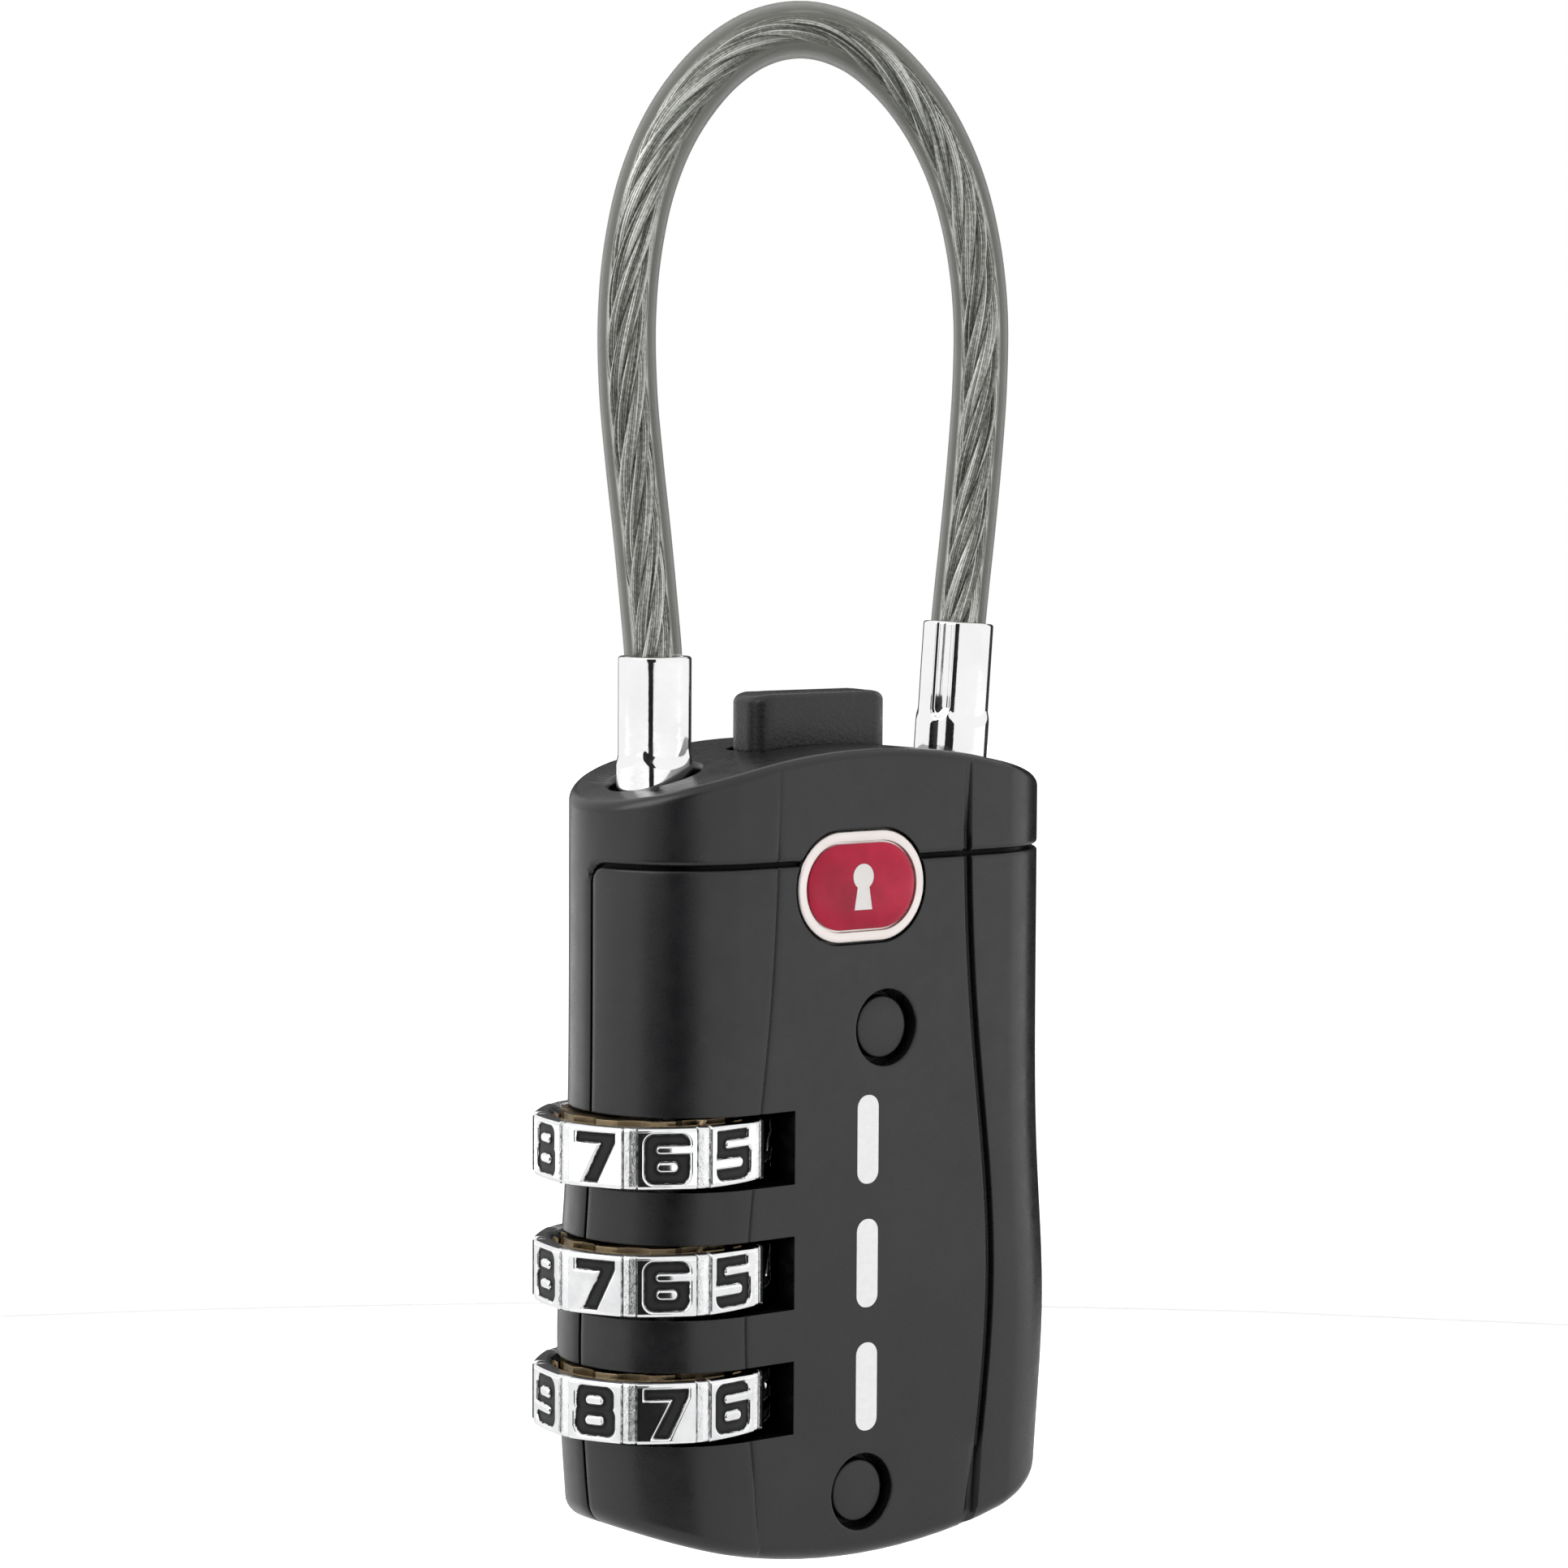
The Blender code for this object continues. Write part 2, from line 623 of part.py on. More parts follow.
def push_button():
    """A domed rectangular key with a flange under the cap and a wedge-ended stem."""
    head = prism("push_button", rounded_rectangle(BUTTON_WIDTH, BUTTON_DEPTH, 0.9 * MM),
                 FLANGE_TOP - 0.5 * MM, BUTTON_TOP)
    place(head, black_cast())
    dome = cylinder("button_dome", (0, -FAR, BUTTON_TOP - 24 * MM), (0, FAR, BUTTON_TOP - 24 * MM),
                    24 * MM, steps=160)
    boolean(head, cutter(place(dome)), "INTERSECT")
    flange = prism("button_flange", rounded_rectangle(10.6 * MM, 4.2 * MM, 1.0 * MM),
                   FLANGE_TOP - FLANGE_THICK, FLANGE_TOP)
    foot = 19.8 * MM
    outline = [(-STEM_HALF, 25.2 * MM), (-STEM_HALF, foot), (foot + WEDGE_LINE, foot),
               (STEM_HALF, STEM_HALF - WEDGE_LINE), (STEM_HALF, 25.2 * MM)]
    stem = prism("button_stem", outline, -1.4 * MM, 1.4 * MM, axis="Y")
    for piece in (flange, stem):
        boolean(head, cutter(place(piece)), "UNION")
    spring = coil(3.0 * MM, 0, GUIDE_HIGH + 0.1 * MM, 0.95 * MM, 0.15 * MM, 2.85 * MM, 4)
    place(tube("button_spring", spring, 0.15 * MM, 1), steel())


def latch_guide():
    """The block that guides the free ferrule's plug, the latch and the button's stem."""
    block = box("latch_guide", (-12.6 * MM, -4.2 * MM, GUIDE_LOW), (6.9 * MM, 4.2 * MM, GUIDE_HIGH))
    place(block, zinc())
    form = cutter(place(body_solid("guide_form", WALL + CLEARANCE, 0, 0, CAP_UNDERSIDE)))
    boolean(block, form, "INTERSECT")
    cuts = [
        box("latch_channel", (-9.2 * MM, -FAR, LATCH_LOW - 0.25 * MM),
            (6.3 * MM, 3.15 * MM, LATCH_HIGH + 0.25 * MM)),
        upright("plug_bore", 2.2 * MM, -FAR, FAR, -LEG_X),
        box("stem_window", (-1.6 * MM, -1.8 * MM, -FAR), (1.6 * MM, 1.8 * MM, FAR)),
        box("lug_window", (-9.3 * MM, -1.0 * MM, 0), (-7.4 * MM, 1.0 * MM, LATCH_LOW)),
        box("tab_window", (1.5 * MM, 1.3 * MM, 0), (5.2 * MM, 3.15 * MM, LATCH_LOW)),
    ]
    for cut in cuts:
        boolean(block, cutter(place(cut)))


def latch_slide():
    """The bolt that the button's wedge moves to the right, and the spring behind it."""
    low, high = LATCH_LOW, LATCH_HIGH
    bolt = box("latch_slide", (-8.65 * MM, -2.85 * MM, low), (2.9 * MM, 2.85 * MM, high))
    place(bolt, steel())
    ramp = WEDGE_LINE + CLEARANCE * math.sqrt(2)
    window = [(-3.1 * MM, low - MM), (low - MM + ramp, low - MM), (high + MM + ramp, high + MM),
              (-3.1 * MM, high + MM)]
    boolean(bolt, cutter(place(prism("wedge_window", window, -1.75 * MM, 1.75 * MM, axis="Y"))))
    for side in (-1, 1):
        corner = box(f"bolt_corner_{side + 1}", (-FAR, side * 2.0 * MM - (FAR if side < 0 else 0),
                                                 0),
                     (-7.0 * MM, side * 2.0 * MM + (FAR if side > 0 else 0), FAR))
        boolean(bolt, cutter(place(corner)))
    tab = box("bolt_tab", (1.9 * MM, 1.6 * MM, 16.4 * MM), (2.9 * MM, 2.6 * MM, low + 0.5 * MM))
    boolean(bolt, cutter(place(tab)), "UNION")
    spring = coil(3.1 * MM, 0, (low + high) / 2, 0.55 * MM, 0.13 * MM, 3.0 * MM, 6, axis="X")
    place(tube("latch_spring", spring, 0.13 * MM, 1), steel())


def free_ferrule():
    """A crimped socket for the cable's end, and below its collar a plug with a latch groove."""
    top, low = FREE_FERRULE_TOP, FREE_FERRULE_TOP - CORE_DEPTH - 0.3 * MM
    profile = [
        (CORE_BORE, top), (FERRULE_RADIUS - 0.15 * MM, top), (FERRULE_RADIUS, top - 0.15 * MM),
        (FERRULE_RADIUS, FREE_COLLAR_TOP + 0.14 * MM), (COLLAR_RADIUS, FREE_COLLAR_TOP),
        (COLLAR_RADIUS, 23.4 * MM), (1.9 * MM, 23.2 * MM), (1.9 * MM, 20.7 * MM),
        (1.2 * MM, 20.7 * MM), (1.2 * MM, 19.1 * MM), (1.9 * MM, 19.1 * MM),
        (1.9 * MM, 18.6 * MM), (1.2 * MM, FREE_PLUG_TIP), (0, FREE_PLUG_TIP),
    ]
    ferrule = turned("free_ferrule", [(0, low)] + [(CORE_BORE, low)] + profile)
    place(ferrule, chrome(), (-LEG_X, 0, 0))


def fixed_ferrule():
    """The other crimped socket, which leans a little in its hole and is held by a clip."""
    top, foot = FIXED_FERRULE_TOP, FIXED_FERRULE_FOOT
    low = top - CORE_DEPTH - 0.3 * MM
    profile = [
        (0, low), (CORE_BORE, low), (CORE_BORE, top), (FERRULE_RADIUS - 0.15 * MM, top),
        (FERRULE_RADIUS, top - 0.15 * MM), (FERRULE_RADIUS, FIXED_COLLAR_TOP + 0.14 * MM),
        (COLLAR_RADIUS, FIXED_COLLAR_TOP), (COLLAR_RADIUS, -0.6 * MM), (1.75 * MM, -0.8 * MM),
        (1.75 * MM, foot + 1.5 * MM), (1.2 * MM, foot + 1.5 * MM), (1.2 * MM, foot + 0.5 * MM),
        (1.75 * MM, foot + 0.5 * MM), (1.75 * MM, foot), (0, foot),
    ]
    ferrule = place(turned("fixed_ferrule", profile), chrome(), FIXED_PIVOT)
    clip = place(turned("ferrule_clip", [
        (1.45 * MM, foot + 1.25 * MM), (2.6 * MM, foot + 1.25 * MM), (2.6 * MM, foot + 0.75 * MM),
        (1.45 * MM, foot + 0.75 * MM)]), steel(), FIXED_PIVOT)
    for obj in (ferrule, clip):
        obj.rotation_euler = (0, FIXED_LEAN, 0)


def cable():
    """The steel rope, and its jacket, which stops at the ferrules' mouths."""
    points = smooth_route(CABLE_ROUTE, CABLE_STEPS_PER_SPAN)
    place(tube("cable_core", points, CORE_RADIUS), steel())
    mouth = FREE_FERRULE_TOP + CLEARANCE
    lean = Vector((math.sin(FIXED_LEAN), 0, math.cos(FIXED_LEAN)))
    fixed_mouth = FIXED_PIVOT + lean * (FIXED_FERRULE_TOP + CLEARANCE)
    middle = [p for p in points if p.x < 0 and p.z > mouth + MM
              or p.x >= 0 and (p - fixed_mouth).dot(lean) > MM]
    ends = [point_at(points, lambda p: p.z - mouth), point_at(
        points[::-1], lambda p: (p - fixed_mouth).dot(lean))]
    jacket = tube_mesh("cable_jacket", [ends[0]] + middle + [ends[1]], CABLE_RADIUS)
    place(jacket, material("jacket", (0.34, 0.36, 0.33), 0.2))
    bore = tube_mesh("jacket_bore", points, CORE_RADIUS + 0.12 * MM)
    boolean(jacket, cutter(place(bore)))


def point_at(points, height):
    """Where the line through the points first crosses height zero."""
    for a, b in zip(points, points[1:]):
        if height(a) <= 0 < height(b):
            return a.lerp(b, -height(a) / (height(b) - height(a)))
    raise ValueError("the cable doesn't cross the ferrule's mouth")


# Override key cylinder.


def key_cylinder():
    """A sleeve, the plug that turns in it with its wafers and cam, and the link to the latch."""
    sleeve = place(upright("cylinder_sleeve", SLEEVE_RADIUS, -14.0 * MM, -4.4 * MM, KEY_X), zinc())
    bore = upright("sleeve_bore", PLUG_RADIUS + 0.25 * MM, -FAR, FAR, KEY_X)
    boolean(sleeve, cutter(place(bore)))

    plug = place(upright("key_plug", PLUG_RADIUS, -15.9 * MM, -4.1 * MM), brass(), (KEY_X, 0, 0))
    keyhole = box("keyhole", (-0.45 * MM, -1.9 * MM, -FAR), (0.45 * MM, 1.9 * MM, -5.4 * MM))
    boolean(plug, cutter(place(keyhole, None, (KEY_X, 0, 0))))
    for i, z in enumerate(WAFER_HEIGHTS):
        slot = box(f"wafer_slot_{i + 1}", (-1.35 * MM, -FAR, z - 0.5 * MM),
                   (1.35 * MM, FAR, z + 0.5 * MM))
        boolean(plug, cutter(place(slot, None, (KEY_X, 0, 0))))
        wafer = box(f"wafer_{i + 1}", (-1.1 * MM, -2.3 * MM, z - 0.25 * MM),
                    (1.1 * MM, 2.3 * MM, z + 0.25 * MM))
        place(wafer, brass(), (KEY_X, 0, 0))
        way = box(f"key_way_{i + 1}", (-0.6 * MM, (i % 2 - 2) * 0.4 * MM, -FAR),
                  (0.6 * MM, (i % 3 + 2) * 0.4 * MM, FAR))
        boolean(wafer, cutter(place(way, None, (KEY_X, 0, 0))))

    cam = place(upright("key_cam", 2.4 * MM, -3.8 * MM, -2.9 * MM), steel(), (KEY_X, 0, 0))
    lobe = box("cam_lobe", (-0.4 * MM, -4.5 * MM, -3.8 * MM), (0.4 * MM, 0, -2.9 * MM))
    boolean(cam, cutter(place(lobe, None, (KEY_X, 0, 0))), "UNION")

    link = place(box("override_link", (8.9 * MM, 2.6 * MM, -4.0 * MM),
                     (10.5 * MM, 3.4 * MM, 17.2 * MM)), steel())
    arms = [
        box("link_foot", (8.9 * MM, -1.0 * MM, -3.9 * MM), (9.9 * MM, 3.0 * MM, -2.8 * MM)),
        box("link_arm", (-0.6 * MM, 2.65 * MM, 16.1 * MM), (10.0 * MM, 3.35 * MM, 17.1 * MM)),
        box("link_finger", (-0.65 * MM, 1.7 * MM, 16.15 * MM), (0.1 * MM, 3.0 * MM, 17.05 * MM)),
    ]
    for arm in arms:
        boolean(link, cutter(place(arm)), "UNION")


clear_scene()
PARTS = bpy.data.collections.new("cable_luggage_lock")
CUTTERS = bpy.data.collections.new("cutters")
for group in (PARTS, CUTTERS):
    bpy.context.scene.collection.children.link(group)
DATUM = bpy.data.objects.new("middle_dial_datum", None)
DATUM.location = (0, 0, -LOOP_CROWN_HEIGHT)
PARTS.objects.link(DATUM)

CAVITIES = cavity_cutters()
shells()
rivets()
badge()
dials()
spindle()
click_spring()
push_button()
latch_guide()
latch_slide()
free_ferrule()
fixed_ferrule()
cable()
key_cylinder()
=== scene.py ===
"""Cable luggage lock: the looks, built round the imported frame.

Metres, +Z up, the dials' slots face -Y. Heights are heights above the middle dial's centre and
are moved to the frame by up(). The lock hangs by its cable loop, whose crown is the origin.
"""

import json
from math import asin, copysign, cos, exp, hypot, pi, radians, sin, sqrt, tan, tau

import bmesh
import bpy
import numpy as np
from mathutils import Matrix, Vector

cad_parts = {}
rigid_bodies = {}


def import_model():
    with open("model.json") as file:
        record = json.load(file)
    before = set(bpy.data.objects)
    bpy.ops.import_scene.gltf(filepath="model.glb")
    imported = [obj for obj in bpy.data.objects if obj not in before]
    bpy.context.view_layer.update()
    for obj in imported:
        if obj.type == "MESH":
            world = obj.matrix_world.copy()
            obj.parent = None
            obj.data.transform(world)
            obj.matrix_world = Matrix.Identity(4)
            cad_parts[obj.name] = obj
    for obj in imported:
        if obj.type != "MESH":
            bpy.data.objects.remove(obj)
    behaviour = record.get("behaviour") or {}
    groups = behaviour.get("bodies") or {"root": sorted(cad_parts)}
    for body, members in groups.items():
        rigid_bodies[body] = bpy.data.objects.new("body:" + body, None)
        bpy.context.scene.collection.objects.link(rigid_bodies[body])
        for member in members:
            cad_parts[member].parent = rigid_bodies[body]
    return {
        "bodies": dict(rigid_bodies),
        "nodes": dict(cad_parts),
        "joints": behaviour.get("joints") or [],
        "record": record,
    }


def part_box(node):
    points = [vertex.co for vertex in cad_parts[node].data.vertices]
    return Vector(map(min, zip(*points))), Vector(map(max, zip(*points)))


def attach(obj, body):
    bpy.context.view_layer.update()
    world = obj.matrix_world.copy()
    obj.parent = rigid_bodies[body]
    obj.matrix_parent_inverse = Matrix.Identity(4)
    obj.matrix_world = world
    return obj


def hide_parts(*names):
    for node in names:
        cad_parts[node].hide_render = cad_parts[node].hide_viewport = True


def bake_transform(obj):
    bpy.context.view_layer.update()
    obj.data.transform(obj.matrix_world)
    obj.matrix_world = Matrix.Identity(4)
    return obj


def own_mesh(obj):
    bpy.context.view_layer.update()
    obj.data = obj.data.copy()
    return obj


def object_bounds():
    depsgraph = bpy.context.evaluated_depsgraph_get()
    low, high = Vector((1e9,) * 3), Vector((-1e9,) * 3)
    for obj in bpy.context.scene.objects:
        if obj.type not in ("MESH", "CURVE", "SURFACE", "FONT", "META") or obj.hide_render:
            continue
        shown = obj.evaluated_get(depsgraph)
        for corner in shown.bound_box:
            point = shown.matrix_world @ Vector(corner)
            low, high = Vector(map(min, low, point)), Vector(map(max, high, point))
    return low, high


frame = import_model()
cad_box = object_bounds()

MM = 0.001


def middle_of(node):
    """The middle of a frame node's box."""
    low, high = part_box(node)
    return [(a + b) / 2 for a, b in zip(low, high)]


# The frame's own places.
DIAL_X, _, DATUM = middle_of("dial_middle")
DIAL_Z = {name: middle_of(f"dial_{name}")[2] for name in ("top", "middle", "bottom")}
DIAL_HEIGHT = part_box("dial_middle")[1][2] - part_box("dial_middle")[0][2]
DIAL_RADIUS = 6.71 * MM
KEY_X = middle_of("key_plug")[0]
(_, _, BASE_LOW), (_, HALF_DEPTH, CREST_TOP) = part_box("rear_housing")

# The body's form, as the frame has it.
HALF_WIDTH = 15.2 * MM
# (size, height, reach) of the bows in the outline, the crease and the step.
BULGE = (0.75 * MM, -4 * MM, 8 * MM)
CREASE_BOW = (-2.3 * MM, -2.5 * MM, 15 * MM)
STEP_BOW = (2 * MM, -1.5 * MM, 14 * MM)
CREST_RADIUS = 42 * MM
BASE_RADIUS = 40 * MM
CREST_ROUND = 0.5 * MM
BASE_ROUND = 0.9 * MM
WALL = 1.2 * MM
SEAM_HEIGHT = 22.7 * MM
SEAM_GAP = 0.24 * MM
SEAM_CORNER = 0.9 * MM
LIP_INSET = 0.45 * MM
LIP_OVERLAP = 0.04 * MM
CHAMBER_RADIUS = 7.05 * MM
CHAMBER_HEIGHT = 4.1 * MM
SLOT_FRONT_END = -5.94 * MM
SLOT_REAR_END = -9.4 * MM
CAP_UNDERSIDE = 22.9 * MM
FLANGE_TOP = 25.9 * MM
LEG_X = 10.87 * MM
LEG_HOLE = 2.55 * MM
PLUG_RADIUS = 2.6 * MM
RIVETS = {"upper_rivet": (0.57 * MM, 13.2 * MM), "lower_rivet": (-0.98 * MM, -12.97 * MM)}
RIVET_HEAD = 1.77 * MM
RIVET_SEAT = -5.27 * MM

# Cable and ferrules.
CABLE_RADIUS = 1.6 * MM
JACKET_BORE = 1.22 * MM
JACKET_DEPTH = 0.25 * MM
ROPE_RADIUS = 1.1 * MM
ROPE_LAY = 17 * MM
WIRE_LAY = 30 * MM
STRANDS = 6
WIRES = 16
FERRULE_RADIUS = 2.14 * MM
FERRULE_LIP = 0.16 * MM
FIXED_FERRULE_TOP = 7.75 * MM
FIXED_LEAN = radians(4.3)
FIXED_PIVOT = Vector((10.55 * MM, 0, 27.8 * MM + DATUM))
FREE_PIVOT = Vector((-LEG_X, 0, DATUM))

FLOOR_WHITE = (0.97, 0.97, 0.97)
FLOOR_DROP = 0.12
FAR = 60 * MM

# Route of the cable's centreline, from inside the free ferrule to inside the fixed one.
CABLE_ROUTE = (
    (-10.87, 29.6), (-10.9, 32.0), (-11.0, 34.2), (-11.3, 36.9), (-11.75, 40.6), (-12.3, 44.6),
    (-12.75, 48.6), (-12.85, 52.6), (-12.45, 56.4), (-11.45, 60.1), (-9.65, 63.5), (-7.0, 66.4),
    (-3.9, 68.3), (-0.5, 69.0), (2.9, 68.45), (5.9, 66.85), (8.6, 64.35), (10.65, 61.2),
    (11.95, 57.6), (12.6, 53.6), (12.6, 49.4), (12.25, 45.0), (11.8, 41.0), (11.4, 37.9),
    (11.1, 35.4), (10.9, 33.2), (10.71, 30.9),
)


def up(height):
    """A height above the middle dial as a height in the frame."""
    return height + DATUM


def cosd(angle):
    return cos(radians(angle))


def sind(angle):
    return sin(radians(angle))


def mm(*points):
    """Points in millimetres as points in metres."""
    return [tuple(v * MM for v in point) for point in points]


def quarter_round(radius, angles):
    """(inset, rise) along a rounded edge: 0 degrees is on the side and 90 is on the top."""
    return [(radius * (1 - cosd(a)), radius * sind(a)) for a in angles]


def added(name, data):
    """A new object in the scene."""
    obj = bpy.data.objects.new(name, data)
    bpy.context.scene.collection.objects.link(obj)
    return obj


# Camera, light and floor.


def camera():
    """A long lens a little above and to the left of the face."""
    yaw, pitch, roll = 38.15, 4.10, radians(0.314)
    forward = Vector((sind(yaw) * cosd(pitch), cosd(yaw) * cosd(pitch), -sind(pitch)))
    level = Vector((cosd(yaw), -sind(yaw), 0))
    rise = level.cross(forward)
    right = level * cos(roll) + rise * sin(roll)
    data = bpy.data.cameras.new("camera")
    data.sensor_width = 36
    data.lens = 101.5
    data.clip_start = 0.01
    obj = added("camera", data)
    turn = Matrix((right, right.cross(forward), -forward)).transposed().to_4x4()
    obj.matrix_world = Matrix.Translation((-0.1561, -0.1965, -0.0229)) @ turn
    bpy.context.scene.camera = obj


def unseen(card):
    """The card shows in reflections and bounces light, but the camera looks through it."""
    card.visible_camera = False
    card.visible_shadow = False


def flag(name, rows, reach, shade):
    """A dark card that stands round the lock, for the chrome and the paint to reflect.

    Rows are (left azimuth, right azimuth, elevation) in degrees, seen from the dials."""
    shape = bmesh.new()
    lines = []
    for left, right, rise in rows:
        z = up(reach * tan(radians(rise)))
        lines.append([shape.verts.new((reach * cos(a), reach * sin(a), z))
                      for a in np.radians(np.linspace(left, right, 9))])
    skin(shape, lines, closed=False, caps=False)
    unseen(mesh_object(name, shape, matte(f"{name}_felt", (shade,) * 3, 0.95, 0.02, 300)))


def studio():
    """A white surround, a soft light from the left and above, dark cards and a pale floor.

    The floor glows a little, so that it is as white as the surround. A dimmer mat lies over it
    for the reflections alone."""
    world = bpy.data.worlds.new("studio")
    world.use_nodes = True
    world.node_tree.nodes["Background"].inputs["Color"].default_value = (1, 1, 1, 1)
    bpy.context.scene.world = world
    bpy.context.scene.view_settings.view_transform = "Standard"
    lamp = bpy.data.lights.new("key_light", "AREA")
    lamp.size = 0.3
    lamp.energy = 0.6
    light = added("key_light", lamp)
    light.location = (-0.34, 0.02, 0.22)
    aim = Vector((0, 0, -0.05)) - light.location
    light.rotation_euler = aim.to_track_quat("-Z", "Y").to_euler()
    flag("front_flag", ((191, 248, -20), (191, 248, -6), (193, 243, -3.5), (208, 236, -2.2),
                        (217, 231, -1.2), (216, 230, 1), (212, 238, 3), (208, 240, 35)),
         0.5, 0.004)
    flag("foot_flag", ((191, 248, -22.3), (191, 248, -13.6)), 0.33, 0.004)
    flag("right_rear_flag", ((0, 50, -17), (0, 50, 30)), 0.7, 0.03)
    flag("left_rear_flag", ((50, 76, -17), (50, 76, 30)), 0.7, 0.08)

    shape = bmesh.new()
    bmesh.ops.create_grid(shape, x_segments=8, y_segments=8, size=2.0)
    paint = matte("floor_paint", FLOOR_WHITE, 0.9, 0.02, 400)
    glow = paint.node_tree.nodes["Principled BSDF"].inputs
    glow["Emission Color"].default_value = (1, 1, 1, 1)
    glow["Emission Strength"].default_value = 0.5
    floor = mesh_object("floor", shape, paint)
    floor.location = (0, 0, cad_box[0][2] - FLOOR_DROP)

    shape = bmesh.new()
    bmesh.ops.create_circle(shape, cap_ends=True, segments=64, radius=0.85)
    mat = mesh_object("floor_mat", shape, matte("mat_felt", FLOOR_WHITE, 0.9, 0.02, 400))
    mat.location = floor.location + Vector((0, 0, 2 * MM))
    unseen(mat)


# Materials. Each is a Principled shader whose colour, roughness and bump vary over the piece.


class Nodes:
    """A material and short names for the nodes that the materials share."""

    def __init__(self, name):
        self.made = bpy.data.materials.new(name)
        self.made.use_nodes = True
        self.tree = self.made.node_tree
        self.place = self.add("ShaderNodeTexCoord").outputs["Object"]

    def feed(self, node, inputs):
        """Links a node's inputs to other nodes' outputs, or sets them to constants."""
        for key, value in inputs.items():
            if isinstance(value, bpy.types.NodeSocket):
                self.tree.links.new(value, node.inputs[key])
            else:
                node.inputs[key].default_value = value

    def add(self, kind, inputs=None, **settings):
        node = self.tree.nodes.new(kind)
        for key, value in settings.items():
            setattr(node, key, value)
        self.feed(node, inputs or {})
        return node

    def noise(self, scale, detail=3.0, rough=0.55):
        return self.add("ShaderNodeTexNoise", {
            "Scale": scale, "Detail": detail, "Roughness": rough, "Vector": self.place,
        }).outputs["Fac"]

    def carried(self, name):
        """A value that the mesh carries at its points."""
        return self.add("ShaderNodeAttribute", attribute_name=name).outputs["Fac"]

    def spread(self, value, low, high, start=0.3, end=0.7):
        """Maps start to low and end to high, and holds the value between them."""
        return self.add("ShaderNodeMapRange", {
            "Value": value, "From Min": start, "From Max": end, "To Min": low, "To Max": high,
        }).outputs["Result"]

    def ramp(self, value, *stops):
        """Colours between stops of (value, colour)."""
        node = self.add("ShaderNodeValToRGB", {"Fac": value})
        bar = node.color_ramp.elements
        while len(bar) < len(stops):
            bar.new(0.5)
        for knot, (at, colour) in zip(bar, stops):
            knot.position = at
            knot.color = (*colour, 1)
        return node.outputs["Color"]

    def math(self, operation, a, b):
        return self.add("ShaderNodeMath", {0: a, 1: b}, operation=operation).outputs[0]

    def finished(self, inputs, *bumps, edge=None):
        """The material, with the shader's inputs, bumps and edges rounded by a radius.

        The bumps, (height, strength, distance) each, are laid over each other."""
        normal = {}
        if edge:
            normal["Normal"] = self.add(
                "ShaderNodeBevel", {"Radius": edge}, samples=4).outputs["Normal"]
        for height, strength, distance in bumps:
            normal["Normal"] = self.add("ShaderNodeBump", {
                "Height": height, "Strength": strength, "Distance": distance, **normal,
            }).outputs["Normal"]
        self.feed(self.tree.nodes["Principled BSDF"], {**inputs, **normal})
        return self.made


def matte(name, colour, roughness, bump, scale):
    """Plain paint with a faint grain. The bump is in millimetres."""
    m = Nodes(name)
    grain = m.noise(scale)
    darker = tuple(0.94 * c for c in colour)
    return m.finished({
        "Base Color": m.ramp(grain, (0.3, darker), (0.7, colour)),
        "Roughness": m.spread(grain, roughness - 0.04, roughness + 0.04),
    }, (grain, 0.2, bump * MM))


def black_paint(name, grain_depth=0.012, grain_scale=5200, tone=1.0, edge=0.12 * MM, shine=0.5):
    """Fine soft-touch black over die-cast zinc: cloudy at large scale, grainy at small scale.

    Ambient occlusion paints shade into its colour in hollows. The grain's depth is in millimetres."""
    m = Nodes(name)
    dark = tuple(tone * c for c in (0.0070, 0.0072, 0.0082))
    light = tuple(tone * c for c in (0.0110, 0.0112, 0.0124))
    # Painted shade: the ambient occlusion node darkens the colour in hollows.
    hollow = m.add("ShaderNodeAmbientOcclusion", {
        "Color": m.ramp(m.noise(180, 4), (0.35, dark), (0.65, light)), "Distance": 1.2 * MM,
    }, samples=6)
    return m.finished({
        "Base Color": hollow.outputs["Color"],
        "Roughness": m.spread(m.noise(900), 0.24, 0.32),
        "Specular IOR Level": shine,
    }, (m.noise(grain_scale, 4, 0.6), 0.35, grain_depth * MM), edge=edge)


def bright_metal(name, colour, roughness, wear=0.35, edge=0.05 * MM, ripple=0.02):
    """Plated or plain metal with faint smears in its polish and a rippled face."""
    m = Nodes(name)
    smear = m.noise(420, 5, 0.6)
    darker = tuple(c * (1 - 0.12 * wear) for c in colour)
    return m.finished({
        "Base Color": m.ramp(smear, (0.3, darker), (0.7, colour)),
        "Metallic": 1.0,
        "Roughness": m.spread(smear, roughness * (1 - wear), roughness * (1 + wear)),
    }, (m.noise(700), 0.5, ripple * MM), (m.noise(5200, 2), 0.15, 0.004 * MM), edge=edge)


def jacket_material(name, *alphas):
    """Smoky clear vinyl. The alphas go from face on to edge on, where the jacket is thicker."""
    m = Nodes(name)
    rim = m.add("ShaderNodeLayerWeight", {"Blend": 0.5})
    tint = m.ramp(m.noise(200), (0.3, (0.115, 0.120, 0.104)), (0.7, (0.150, 0.152, 0.132)))
    return m.finished({
        "Base Color": tint,
        "Roughness": m.spread(m.noise(500), 0.34, 0.46),
        "Specular IOR Level": 0.3,
        "Alpha": m.ramp(rim.outputs["Facing"], *((at, (alpha,) * 3) for at, alpha in alphas)),
    }, (m.noise(160, 2), 0.1, 0.02 * MM))


